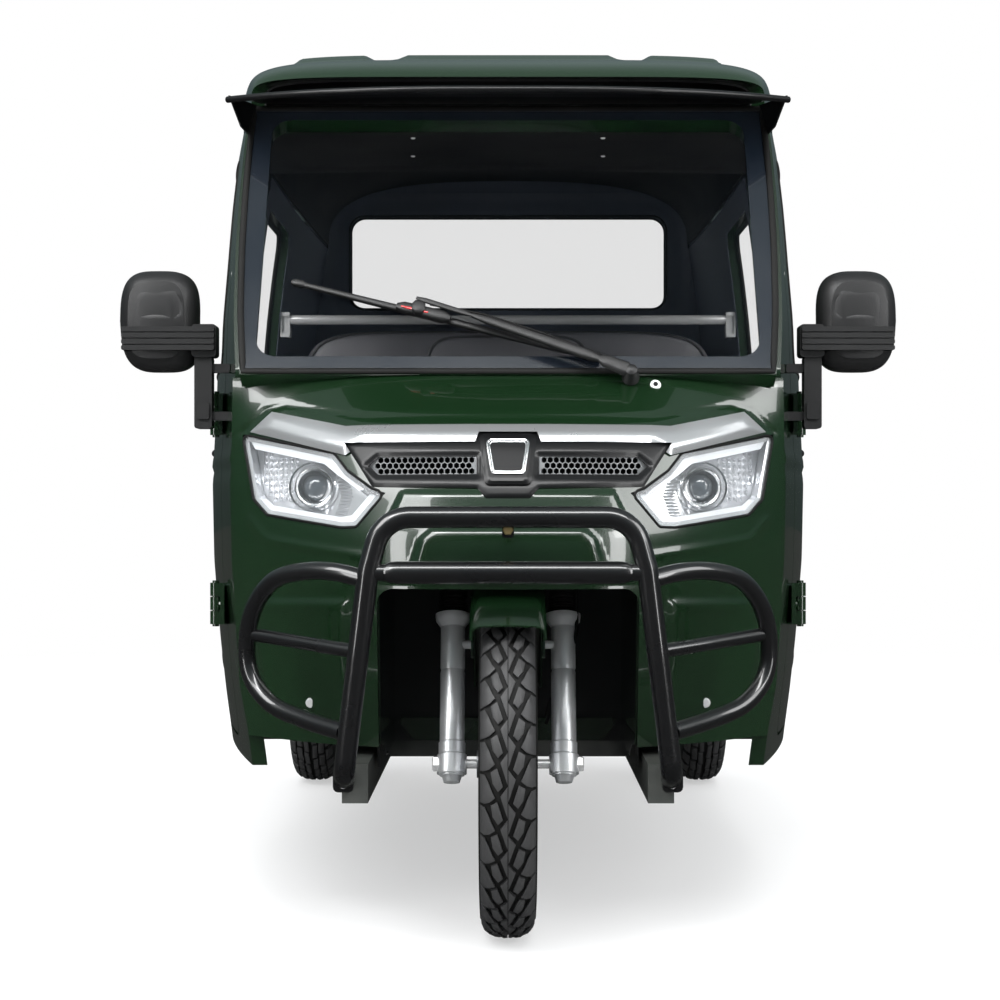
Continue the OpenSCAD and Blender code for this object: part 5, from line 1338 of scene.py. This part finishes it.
def fork_legs(finish):
    """Fork: alloy legs and cups, ribbed boots, black yoke and stem, spindle nuts."""
    y, up = -40, -13
    legs, boots, nuts = [], [], []
    leg = [(-30, 0.02), (-30, 13), (-20, 16), (-19, 20), (0, 20), (2, 21.5), (34, 21.5), (36, 20), (150, 20),
           (154, 18.6),
           (158, 20), (226, 20), (230, 23), (236, 27.5), (243, 29), (248, 29), (249, 26), (244, 20),
           (244, 0.02)]
    legs.append(both(steer_lathe(leg, 90, y, up)))
    tube = [(240, 0.02), (240, 15), (398, 15), (398, 0.02)]
    legs.append(both(steer_lathe(tube, 90, y, up)))
    rib = [(245, 0.02), (245, 17)]
    for k in range(8):
        z = 247 + k * 8.4
        rib += [(z, 19.5), (z + 2.6, 24.2 - 0.25 * k), (z + 5.2, 24.2 - 0.25 * k), (z + 7.6, 19.5)]
    rib += [(316, 17.5), (318, 17.5), (318, 0.02)]
    boots.append(both(steer_lathe(rib, 90, y, up)))
    lug = [steer(90 - 12, y - 6, up + 196), steer(60, y - 6, up + 196)]
    legs.append(both(sweep(lug, 7, 16)))
    legs.append(both(steer_turned([(-16, 24), (14, 24), (18, 20)], 90, y, up, 40)))
    put("fork_legs", join(legs), finish, "alloy", "steering", nodes=["fork"])
    put("fork_boots", join(boots), finish, "rubber", "steering")
    yoke = flat_round([(-120, -66), (120, -66), (112, -14), (34, 32), (-34, 32), (-112, -14)], 18, 6)
    rings = []
    for z, grow in ((372, -2.5), (374.5, 0), (395.5, 0), (398, -2.5)):
        rings.append([steer(px * (1 + grow / 110), py + grow * (0.6 if py > 0 else -0.6), z) for px,
                      py in yoke])
    black = [loft(rings), steer_turned([(372, 14), (651.9, 14)], 0, 0, 0),
             both(steer_turned([(366, 22), (402, 22), (404, 20)], 90, y, 0))]
    put("fork_yoke", join(black), finish, "black_paint", "steering")
    ay, az = steer(0, y, up)[1:]
    nuts.append(sweep([(-116, ay, az), (116, ay, az)], 7.5, 20))
    nuts.append(both(turned([(0, 13), (11, 13), (13, 11)], (108.5, ay, az), (1, 0, 0), 6)))
    nuts.append(both(turned([(0, 14.5), (1.4, 14.5)], (107.5, ay, az), (1, 0, 0), 30)))
    for z in (376, 392):
        nuts.append(both(sweep([steer(86, -67, z), steer(86, -64, z)], 5, 6)))
    put("spindle_nuts", join(nuts), finish, "stainless", "steering")
    cable = [steer(102, -68, 380), steer(112, -64, 300), steer(112, -50, 200), steer(78, -20, 110),
             steer(62, -4, 60)]
    adjust = [sweep([steer(70, -12, 96), steer(64, -6, 72)], 5.5, 12),
              sweep([steer(76, -18, 106), steer(70, -12, 96)], 4, 6)]
    put("brake_cable", join([sweep(bend_path(cable, 60, 8), 3.2, 10)] + adjust), finish, "rubber", "steering")


def mudguard(finish):
    """Thin rolled sheet over the front tyre with wired edges and stays."""
    arc = np.linspace(math.radians(50), math.radians(158), 64)
    section = [(274, -57), (279, -57.4), (292, -57), (298, -51), (302, -43), (303.4, -22), (304, 0),
               (303.4, 22),
               (302, 43), (298, 51), (292, 57), (279, 57.4), (274, 57), (275, 54), (291, 54), (296, 48.5),
               (299, 42),
               (300.6, 0), (299, -42), (296, -48.5), (291, -54), (275, -54)]
    rings = [[(x, -r * math.cos(a), AXLE_Z + r * math.sin(a)) for r, x in section] for a in arc]
    parts = [loft(rings)]
    for s in (-1, 1):
        parts.append(sweep([(s * 56.6, -275 * math.cos(a), AXLE_Z + 275 * math.sin(a)) for a in arc], 2.4, 10))
    ring = flat_round([(-66, 160), (-36, 160), (-36, 268), (-66, 268)], 8, 4)
    parts.append(both(loft([[steer(x, p[0], p[1]) for p in ring] for x in (56.3, 60)])))
    put("mudguard_sheet", join(parts), finish, "green_paint", "steering", nodes=["front_mudguard"])


# Seats

def rounded_slab(sections, power, n=96):
    """Closed body through superellipse sections: (centre, half sizes, directions)."""
    rings = []
    for centre, a, b, u, v in sections:
        rings.append([Vector(centre) + u * p[0] + v * p[1] for p in superellipse(a, b, power, n)])
    return loft(rings)


def cushion_mesh(w, y0, y1, z0, z1, inset=3.0):
    """The starting block of a cushion, slightly smaller than its full size."""
    mid_y, half_y, half_x = (y0 + y1) / 2, (y1 - y0) / 2 - inset, w / 2 - inset
    x_axis, y_axis = Vector((1, 0, 0)), Vector((0, 1, 0))
    levels = [(z0, 0.965), (z0 + 5, 0.985), (z0 + 0.3 * (z1 - z0), 1.0), (z0 + 0.62 * (z1 - z0), 1.0),
              (z0 + 0.84 * (z1 - z0), 0.982), (z1 - inset - 3, 0.95), (z1 - inset, 0.90)]
    return [((0, mid_y, z), half_x * s, half_y * s, x_axis, y_axis) for z, s in levels]


def back_mesh(w, y, z0, z1, t, lean, inset=3.0):
    """The starting block of a backrest: y is its front face at the foot."""
    a = math.radians(lean)
    up = Vector((0, math.sin(a), math.cos(a)))
    out = Vector((0, math.cos(a), -math.sin(a)))
    x_axis = Vector((1, 0, 0))
    length = (z1 - z0) / math.cos(a)
    foot = Vector((0, y, z0)) + up * length / 2
    levels = [(inset * 0.5, 0.945), (inset + 5, 0.972), (0.3 * t, 1.0), (0.72 * t, 1.0), (t - 6, 0.985),
              (t - inset * 0.5, 0.96)]
    return [(foot + out * d, (w / 2 - inset) * s, (length / 2 - inset) * s, x_axis, up) for d, s in levels]


def puff(piece, cell, cap, pins):
    """Inflates a cushion by a cloth simulation with its seams and seat face held, and applies it."""
    remesh = piece.modifiers.new("remesh", "REMESH")
    remesh.mode, remesh.voxel_size = "VOXEL", cell
    bpy.context.view_layer.update()
    piece.data = bpy.data.meshes.new_from_object(piece.evaluated_get(bpy.context.evaluated_depsgraph_get()))
    piece.modifiers.clear()
    rest = np.empty(len(piece.data.vertices) * 3)
    piece.data.vertices.foreach_get("co", rest)
    rest = rest.reshape(-1, 3)
    hold = piece.vertex_groups.new(name="held")
    world = rest @ np.array(piece.matrix_world)[:3, :3].T + np.array(piece.matrix_world)[:3, 3]
    for i, weight in enumerate(pins(world)):
        if weight > 0:
            hold.add([i], float(weight), "REPLACE")
    cloth = piece.modifiers.new("cloth", "CLOTH")
    cloth.settings.use_pressure = True
    cloth.settings.uniform_pressure_force = 4.0
    cloth.settings.effector_weights.gravity = 0.0
    cloth.settings.vertex_group_mass = "held"
    cloth.settings.quality = 5
    cloth.point_cache.frame_start, cloth.point_cache.frame_end = 1, 16
    for step in range(1, 17):
        bpy.context.scene.frame_set(step)
    piece.data = bpy.data.meshes.new_from_object(piece.evaluated_get(bpy.context.evaluated_depsgraph_get()))
    piece.modifiers.clear()
    bpy.context.scene.frame_set(1)
    now = np.empty(len(piece.data.vertices) * 3)
    piece.data.vertices.foreach_get("co", now)
    move = now.reshape(-1, 3) - rest
    far = np.linalg.norm(move, axis=1, keepdims=True)
    move = np.where(far > cap, move * cap / np.maximum(far, 1e-9), move)
    piece.data.vertices.foreach_set("co", (rest + move).ravel())
    piece.data.update()


def near_lines(value, lines, half):
    """1 where value lies within half of any of the lines, else 0."""
    return np.max([np.abs(value - line) < half for line in lines], axis=0).astype(float)


def seat_piece(name, node, sections, power, finish, cell, cap, pins):
    piece = put(name, rounded_slab(sections, power), finish, "seat_leather", corner=180, nodes=[node])
    puff(piece, cell, cap, pins)
    piece.data.polygons.foreach_set("use_smooth", [True] * len(piece.data.polygons))
    soft = piece.modifiers.new("smooth", "SUBSURF")
    soft.levels = soft.render_levels = 1
    return piece


def section_ring(section, power, n=120, grow=0.0):
    """Outline of one section of a cushion, grown by grow."""
    centre, a, b, u, v = section
    return [Vector(centre) + u * p[0] + v * p[1] for p in superellipse(a + grow, b + grow, power, n)]


def seats(finish, piping):
    """Driver's seat and bench: sewn cushions with piping, backs with channels."""
    cords = []
    jobs = (("driver_cushion", "driver_seat", 430, 690, 1080, 560.3, 645, 0.007, (-112, 112)),
            ("passenger_cushion", "bench_cushion", 930, 1250, 1640, 540.3, 620, 0.009, (-155, 155)))
    for name, node, w, y0, y1, z0, z1, cell, lines in jobs:
        sections = cushion_mesh(w, y0, y1, z0, z1, 4.0)
        seam_z = sections[4][0][2]

        def pins(world, z0=z0, z1=z1, seam_z=seam_z, lines=lines, w=w, y0=y0, y1=y1):
            x, y, z = world[:, 0] * 1000, world[:, 1] * 1000 - AXLE_Y, world[:, 2] * 1000
            low = (z < z0 + 10).astype(float)
            rim = (np.abs(z - seam_z) < 5).astype(float)
            inside = (np.abs(y - (y0 + y1) / 2) < (y1 - y0) / 2 - 34) & (z > z1 - 20) & (np.abs(x) < lines[1]
                                                                                         + 8)
            sewn = near_lines(x, lines, 5) * inside
            across = near_lines(y, (y0 + 40, y1 - 40), 5) * inside
            return np.maximum.reduce([low, rim, sewn, across])
        seat_piece(name, node, sections, 4.6, finish, cell, 0.009, pins)
        cords.append(sweep(section_ring(sections[4], 4.6, grow=1.5), piping, 10, closed=True))
        cords.append(sweep(section_ring(sections[1], 4.6, grow=1.0), piping * 0.8, 10, closed=True))
    jobs = (("driver_back", "driver_backrest", 360, 1052, 660, 1062, 70, 6, 0.007, (-95, 95)),
            ("passenger_back", "bench_backrest", 980, 1612, 635, 1118, 60, 2, 0.009, (-163, 163)))
    for name, node, w, y, z0, z1, t, lean, cell, lines in jobs:
        sections = back_mesh(w, y, z0, z1, t, lean, 4.0)
        a = math.radians(lean)

        def pins(world, y=y, z0=z0, z1=z1, t=t, a=a, lines=lines):
            x, py, z = world[:, 0] * 1000, world[:, 1] * 1000 - AXLE_Y, world[:, 2] * 1000
            depth = (py - y) * math.cos(a) - (z - z0) * math.sin(a)
            rear = (depth > t - 9).astype(float)
            rim = (np.abs(depth - 8.5) < 4).astype(float)
            face = (depth < 12) & (z > z0 + 36) & (z < z1 - 40)
            sewn = near_lines(x, lines, 5) * face
            across = near_lines(z, (z0 + 150, z1 - 110), 5) * face * (np.abs(x) < lines[1])
            return np.maximum.reduce([rear, rim, sewn, across])
        seat_piece(name, node, sections, 7.0, finish, cell, 0.009, pins)
        cords.append(sweep(section_ring(sections[1], 7.0, grow=1.5), piping, 10, closed=True))
        cords.append(sweep(section_ring(sections[4], 7.0, grow=1.0), piping * 0.8, 10, closed=True))
    put("seat_piping", join(cords), finish, "piping", slot="seat_leather")


# Cab interior and rear

def side_linings(finish):
    """Dark trim on the inside of the side walls and doors."""
    lining = put("side_lining_left", wall_slab(1094, 2292, 400, 1388, 25.5, 27.5, 22), finish, "cab_lining",
                 slot="black_plastic")
    cut(lining, [side_cutter(quarter_window(-2)), side_cutter(circle(REAR_Y, AXLE_Z, ARCH_R + 15))])
    mirror_piece(lining, "side_lining_right", finish["cab_lining"], "body", (), "black_plastic")
    trim = flat_round([(340, 340), (1040, 340), (1040, 905), (395, 905), (340, 820)], 40)

    def layer(off):
        return lambda y, z: np.stack([wall_x(y, z) - off - 2 * smoothstep(signed_inside(y, z, trim), 40, 54), y,
                                      z], 1)
    panel = tile(trim, 16, layer(25.4), layer(28.5))
    for body, part, side in (("door_l", panel, "left"), ("door_r", mirrored(panel), "right")):
        put("door_trim_" + side, part, finish, "cab_lining", body, slot="black_plastic")


def rear_fittings(finish):
    """Tail lamps with ribbed lenses, and the rear bumper's end caps and bolts."""
    y = BACK_Y + 0.3
    lens = []
    for half_z, z0 in ((62, 789), (38, 682)):
        rings = []
        for depth, grow in ((1, 0), (12, 0), (18, -2), (21.5, -8)):
            rings.append([(470 + p[0], y + depth, z0 + p[1])
                          for p in superellipse(37 + grow, half_z + grow, 5, 40)])
        lens.append(loft(rings))
        for k in range(-4, 5):
            if abs(k * 9) < half_z - 10:
                lens.append(brick((441, y + 20.6, z0 + k * 9 - 1.4), (499, y + 22, z0 + k * 9 + 1.4)))
    base = [[(470 + p[0], y + d, 745 + p[1]) for p in superellipse(42 + g, 105 + g, 5, 48)] for d,
            g in ((0, 0), (7, 0), (10, -3))]
    put("tail_lamp_bases", both(loft(base)), finish, "black_plastic")
    put("tail_lamp_lenses", both(join(lens)), finish, "red_lamp", nodes=["tail_lamps"])
    caps = [both(sweep([(499.5, 2345.6, 372), (503, 2339, 372)], [20.5, 19], 24))]
    for z in (380, 436):
        caps.append(both(turned([(0, 9), (5, 8)], (235, 2404, z), (0, 1, 0), 6)))
    put("rear_bumper_caps", join(caps), finish, "black_plastic")


def wheel_housing(finish):
    """Painted liners on the cheeks of the front wheel's housing and the cross plate behind the wheel."""
    zs = np.linspace(308, 557, 16)
    edge = [(nose_at(205, z) + 24, z) for z in zs] + [(394, 557), (394, 272), (150, 272), (60, 300)]
    cheeks = both(loft([[(x, p[0], p[1]) for p in edge] for x in (202.6, 204.6)]))
    plate = flat_round([(-202, 312), (202, 312), (168, 272), (-168, 272)], 6, 4)
    put("housing_liners", join([cheeks, prism_y(plate, 391, 395.6)]), finish, "green_paint")


def handlebar_grips(finish):
    """Ribbed grips over the ends of the handlebar."""
    stem_top = (895 - AXLE_Z) / math.cos(RAKE)
    z = stem_top + 13
    knee, end = Vector((188, 70, z)), Vector((310, 172, z - 18))
    d = (end - knee).normalized()
    start = end - d * 90
    profile = [(0, 11.4), (0, 18), (4, 18)]
    for k in range(10):
        profile += [(8 + k * 7.6, 16.4), (10 + k * 7.6, 17.2), (13 + k * 7.6, 17.2), (15 + k * 7.6, 16.4)]
    profile += [(86, 18.5), (91, 18.5), (91, 11.4)]
    rings = []
    side = d.cross(Vector((0, 0, 1))).normalized()
    up = d.cross(side)
    for c, s in compass(24):
        rings.append([steer(*(start + d * a + (side * c + up * s) * r)) for a, r in profile])
    put("handlebar_grips", both(loft(rings, closed=True)), finish, "rubber", "steering")


def dress_cad_nodes(finish):
    """Gives each visible CAD node the finish its material slot names."""
    slots = {s["node"]: s["material_slot"] for s in frame["record"]["subparts"]}
    for node, slot in slots.items():
        thing = bpy.data.objects.get(node)
        if thing is None:
            raise RuntimeError("no CAD object named " + node)
        look = finish["mesh_metal"] if node == "grille_mesh" else finish[slot]
        for material_slot in thing.material_slots:
            material_slot.material = look
        if not thing.material_slots:
            thing.data.materials.append(look)


# Studio

def ray_mix(tree, camera_shader, glossy_shader, other_shader):
    """Shows the first shader to the camera and through glass, the second in reflections, else the last."""
    path = tree.nodes.new("ShaderNodeLightPath")
    seen = add(tree, "ShaderNodeMath", operation="MAXIMUM")
    tree.links.new(path.outputs["Is Camera Ray"], seen.inputs[0])
    tree.links.new(path.outputs["Is Transmission Ray"], seen.inputs[1])
    mirrored_part = tree.nodes.new("ShaderNodeMixShader")
    tree.links.new(path.outputs["Is Glossy Ray"], mirrored_part.inputs["Fac"])
    tree.links.new(other_shader, mirrored_part.inputs[1])
    tree.links.new(glossy_shader, mirrored_part.inputs[2])
    mix = tree.nodes.new("ShaderNodeMixShader")
    tree.links.new(seen.outputs[0], mix.inputs["Fac"])
    tree.links.new(mirrored_part.outputs["Shader"], mix.inputs[1])
    tree.links.new(camera_shader, mix.inputs[2])
    return mix.outputs["Shader"]


def sky_ramp(tree, height, stops):
    """Colours over the height of the sky, from below the horizon to overhead."""
    ramp = add(tree, "ShaderNodeValToRGB")
    tree.links.new(height, ramp.inputs["Fac"])
    marks = ramp.color_ramp.elements
    marks[0].position, marks[0].color = stops[0][0], (*stops[0][1], 1)
    marks[1].position, marks[1].color = stops[-1][0], (*stops[-1][1], 1)
    for place, colour in stops[1:-1]:
        marks.new(place).color = (*colour, 1)
    return ramp.outputs["Color"]


def studio_world(sky_strength, glint):
    """White to the camera, dim in reflections, a soft sky for the light."""
    world = bpy.data.worlds.new("studio_world")
    bpy.context.scene.world = world
    world.use_nodes = True
    tree = world.node_tree
    tree.nodes.clear()
    place = add(tree, "ShaderNodeTexCoord")
    split = add(tree, "ShaderNodeSeparateXYZ")
    tree.links.new(place.outputs["Generated"], split.inputs[0])
    raise_up = add(tree, "ShaderNodeMapRange", From_Min=-1.0, From_Max=1.0)
    tree.links.new(split.outputs["Z"], raise_up.inputs["Value"])
    height = raise_up.outputs["Result"]
    sky = add(tree, "ShaderNodeBackground", Strength=sky_strength)
    tree.links.new(sky_ramp(tree, height, [(0.0, (0.7, 0.7, 0.7)), (0.5, (0.85, 0.9, 0.92)),
                                           (1.0, (0.95, 0.98, 1.0))]),
                   sky.inputs["Color"])
    dim = add(tree, "ShaderNodeBackground", Strength=glint)
    tree.links.new(sky_ramp(tree, height, [(0.0, (0.03, 0.03, 0.03)), (0.47, (0.02, 0.03, 0.025)),
                                           (0.53, (0.08, 0.10, 0.10)), (0.62, (0.15, 0.20, 0.21)),
                                           (0.78, (0.34, 0.42, 0.43)), (1.0, (0.40, 0.46, 0.47))]),
                                           dim.inputs["Color"])
    white = add(tree, "ShaderNodeBackground", Color=(1, 1, 1, 1), Strength=1.0)
    out = tree.nodes.new("ShaderNodeOutputWorld")
    tree.links.new(ray_mix(tree, white.outputs[0], dim.outputs[0], sky.outputs[0]), out.inputs["Surface"])


def floor_finish():
    """Pale floor that fades to white away from the vehicle."""
    material = bpy.data.materials.new("studio_floor")
    material.use_nodes = True
    tree = material.node_tree
    shader = tree.nodes["Principled BSDF"]
    noise = add(tree, "ShaderNodeTexNoise", Scale=3.0, Detail=4.0)
    tone = add(tree, "ShaderNodeMapRange", To_Min=0.86, To_Max=0.9)
    tree.links.new(noise.outputs["Fac"], tone.inputs["Value"])
    tree.links.new(tone.outputs["Result"], shader.inputs["Base Color"])
    shader.inputs["Roughness"].default_value = 0.9
    shader.inputs["Specular IOR Level"].default_value = 0.0
    glow = add(tree, "ShaderNodeEmission", Color=(1, 1, 1, 1), Strength=1.0)
    dull = add(tree, "ShaderNodeEmission", Color=(0.5, 0.52, 0.5, 1), Strength=0.08)
    place = add(tree, "ShaderNodeTexCoord")
    away = add(tree, "ShaderNodeVectorMath", operation="LENGTH")
    tree.links.new(place.outputs["Object"], away.inputs[0])
    share = add(tree, "ShaderNodeMapRange", From_Min=2.2, From_Max=6.0, To_Min=0.5, To_Max=1.0)
    tree.links.new(away.outputs["Value"], share.inputs["Value"])
    part_lit = add(tree, "ShaderNodeMixShader")
    tree.links.new(share.outputs["Result"], part_lit.inputs["Fac"])
    tree.links.new(shader.outputs[0], part_lit.inputs[1])
    tree.links.new(glow.outputs[0], part_lit.inputs[2])
    out = tree.nodes["Material Output"]
    tree.links.new(ray_mix(tree, part_lit.outputs[0], dull.outputs[0], shader.outputs[0]),
                   out.inputs["Surface"])
    return material


def studio(light_power, sky_strength, glint):
    """Pale floor, soft lights, world and the photograph's camera."""
    floor_mesh = bpy.data.meshes.new("studio_floor")
    floor_mesh.from_pydata([(-40, -40, 0), (40, -40, 0), (40, 60, 0), (-40, 60, 0)], [], [(0, 1, 2, 3)])
    floor_mesh.materials.append(floor_finish())
    things = [bpy.data.objects.new("studio_floor", floor_mesh)]
    lights = (("key_light", (-3.4, -3.6, 4.2), (3.0, 3.0), 0.9),
              ("fill_light", (4.0, -3.0, 3.0), (2.6, 2.6), 0.45),
              ("front_strip", (0.0, -3.8, 4.2), (5.0, 1.0), 0.75),
              ("top_light", (0.0, -0.6, 5.4), (4.5, 3.0), 0.6),
              ("left_strip", (-2.9, -3.6, 1.0), (0.5, 2.2), 0.12),
              ("right_strip", (2.9, -3.6, 1.0), (0.5, 2.2), 0.12),
              ("back_light", (0.0, 5.5, 2.6), (4.0, 2.0), 0.35))
    for name, place, size, share in lights:
        data = bpy.data.lights.new(name, "AREA")
        data.shape, data.size, data.size_y, data.energy = "RECTANGLE", *size, light_power * share
        lamp = bpy.data.objects.new(name, data)
        lamp.location = place
        lamp.rotation_euler = (Vector((0, 0, 0.6)) - Vector(place)).to_track_quat("-Z", "Y").to_euler()
        lamp.visible_glossy = name not in ("top_light", "back_light")
        things.append(lamp)
    view = bpy.data.cameras.new("photo_camera")
    view.lens, view.sensor_width = 76.3, 36.0
    view.shift_x, view.shift_y = -0.008, 0.014
    view.clip_end = 200.0
    camera = bpy.data.objects.new("photo_camera", view)
    camera.location = (0.0, -4.475, 0.676)
    camera.rotation_euler = (math.radians(90), 0, 0)
    things.append(camera)
    for thing in things:
        bpy.context.scene.collection.objects.link(thing)
    studio_world(sky_strength, glint)
    bpy.context.scene.camera = camera
    bpy.context.scene.view_settings.view_transform = "Standard"


# Add-on

FINISH = {}


def finishes():
    """The finishes made by the first step."""
    if not FINISH:
        raise RuntimeError("the finishes are made first: run Make finishes")
    return FINISH


class TricycleSettings(bpy.types.PropertyGroup):
    """Sizes and colours that a user of the dressed tricycle would change."""
    body_colour: bpy.props.FloatVectorProperty(
        name="Body colour", description="Paint of the nose, walls, doors and roof", subtype="COLOR", size=3,
        min=0.0, max=1.0, default=(0.0032, 0.0135, 0.0042))
    bar_colour: bpy.props.FloatVectorProperty(
        name="Bar colour", description="Paint of the bull bar and rear bumper", subtype="COLOR", size=3,
        min=0.0, max=1.0, default=(0.003, 0.003, 0.0035))
    seat_colour: bpy.props.FloatVectorProperty(
        name="Seat colour", description="Leather of the seats", subtype="COLOR", size=3, min=0.0, max=1.0,
        default=(0.075, 0.074, 0.082))
    lining_colour: bpy.props.FloatVectorProperty(
        name="Lining colour", description="Trim inside the cab", subtype="COLOR", size=3, min=0.0, max=1.0,
        default=(0.055, 0.068, 0.098))
    window_tint: bpy.props.FloatProperty(
        name="Window tint", description="How much of the view each pane hides", subtype="FACTOR", min=0.02,
        max=0.9,
        default=0.07)
    piping_size: bpy.props.FloatProperty(
        name="Piping radius", description="Radius of the cord sewn round the seats", unit="LENGTH", min=0.001,
        max=0.006, default=0.003)
    tread_depth: bpy.props.FloatProperty(
        name="Tread depth", description="Height of the blocks on the tyres", unit="LENGTH", min=0.002,
        max=0.009,
        default=0.006)
    light_power: bpy.props.FloatProperty(
        name="Light power", description="Power of the key light in watts", min=10.0, max=2000.0, default=260.0)
    sky_strength: bpy.props.FloatProperty(
        name="Sky strength", description="Brightness of the sky that lights the scene", min=0.0, max=5.0,
        default=0.9)
    reflected_sky: bpy.props.FloatProperty(
        name="Reflected sky", description="Brightness of the sky that the paint mirrors", min=0.0, max=3.0,
        default=0.55)


class TRICYCLE_OT_finishes(bpy.types.Operator):
    """Make every finish and put it on the CAD nodes"""
    bl_idname = "tricycle.finishes"
    bl_label = "Make finishes"

    def execute(self, context):
        FINISH.clear()
        FINISH.update(make_finishes(context.scene.tricycle))
        dress_cad_nodes(FINISH)
        return {"FINISHED"}


class TRICYCLE_OT_nose(bpy.types.Operator):
    """Build the nose shell, lamps, grille and bull bar"""
    bl_idname = "tricycle.nose"
    bl_label = "Build nose"

    def execute(self, context):
        nose_shell(finishes())
        lamps(finishes())
        grille(finishes())
        bull_bar(finishes())
        return {"FINISHED"}


class TRICYCLE_OT_roof(bpy.types.Operator):
    """Build the roof, its lining and the visor"""
    bl_idname = "tricycle.roof"
    bl_label = "Build roof"

    def execute(self, context):
        roof_shell(finishes())
        visor(finishes())
        return {"FINISHED"}


class TRICYCLE_OT_walls(bpy.types.Operator):
    """Build the side walls, doors, window seals and linings"""
    bl_idname = "tricycle.walls"
    bl_label = "Build walls and doors"

    def execute(self, context):
        side_walls(finishes())
        doors(finishes())
        window_seals(finishes())
        side_linings(finishes())
        return {"FINISHED"}


class TRICYCLE_OT_rear(bpy.types.Operator):
    """Build the rear wall's lining, the tail lamps and the bumper's caps"""
    bl_idname = "tricycle.rear"
    bl_label = "Build rear"

    def execute(self, context):
        rear_lining(finishes())
        rear_fittings(finishes())
        wheel_housing(finishes())
        return {"FINISHED"}


class TRICYCLE_OT_screen(bpy.types.Operator):
    """Build the windscreen's edge band, bead, washer and wiper"""
    bl_idname = "tricycle.screen"
    bl_label = "Build windscreen"

    def execute(self, context):
        windscreen(finishes())
        wiper(finishes())
        return {"FINISHED"}


class TRICYCLE_OT_mirrors(bpy.types.Operator):
    """Build both mirrors with their arms and brackets"""
    bl_idname = "tricycle.mirrors"
    bl_label = "Build mirrors"

    def execute(self, context):
        mirror_heads(finishes())
        return {"FINISHED"}


class TRICYCLE_OT_running_gear(bpy.types.Operator):
    """Build the tyres, fork, mudguard and grips"""
    bl_idname = "tricycle.running_gear"
    bl_label = "Build running gear"

    def execute(self, context):
        tyres(finishes(), context.scene.tricycle.tread_depth * 1000)
        fork_legs(finishes())
        mudguard(finishes())
        handlebar_grips(finishes())
        return {"FINISHED"}


class TRICYCLE_OT_seats(bpy.types.Operator):
    """Build the driver's seat and the passenger bench"""
    bl_idname = "tricycle.seats"
    bl_label = "Build seats"

    def execute(self, context):
        seats(finishes(), context.scene.tricycle.piping_size * 1000)
        return {"FINISHED"}


class TRICYCLE_OT_stage(bpy.types.Operator):
    """Set up the floor, lights, world and camera"""
    bl_idname = "tricycle.stage"
    bl_label = "Set stage"

    def execute(self, context):
        look = context.scene.tricycle
        studio(look.light_power, look.sky_strength, look.reflected_sky)
        return {"FINISHED"}


OPERATORS = (TRICYCLE_OT_finishes, TRICYCLE_OT_nose, TRICYCLE_OT_roof, TRICYCLE_OT_walls, TRICYCLE_OT_rear,
             TRICYCLE_OT_screen, TRICYCLE_OT_mirrors, TRICYCLE_OT_running_gear, TRICYCLE_OT_seats,
             TRICYCLE_OT_stage)


class TRICYCLE_PT_panel(bpy.types.Panel):
    """Settings and build steps of the dressed tricycle"""
    bl_idname = "TRICYCLE_PT_panel"
    bl_label = "Tricycle"
    bl_space_type = "VIEW_3D"
    bl_region_type = "UI"
    bl_category = "Tricycle"

    def draw(self, context):
        for key in TricycleSettings.__annotations__:
            self.layout.prop(context.scene.tricycle, key)
        for operator in OPERATORS:
            self.layout.operator(operator.bl_idname)


def register():
    for cls in (TricycleSettings, *OPERATORS, TRICYCLE_PT_panel):
        bpy.utils.register_class(cls)
    bpy.types.Scene.tricycle = bpy.props.PointerProperty(type=TricycleSettings)


def unregister():
    del bpy.types.Scene.tricycle
    for cls in reversed((TricycleSettings, *OPERATORS, TRICYCLE_PT_panel)):
        bpy.utils.unregister_class(cls)


def main():
    register()
    ops = bpy.ops.tricycle
    for step in (ops.finishes, ops.nose, ops.roof, ops.walls, ops.rear, ops.screen, ops.mirrors,
                 ops.running_gear, ops.seats, ops.stage):
        step()


if __name__ == "__main__":
    main()
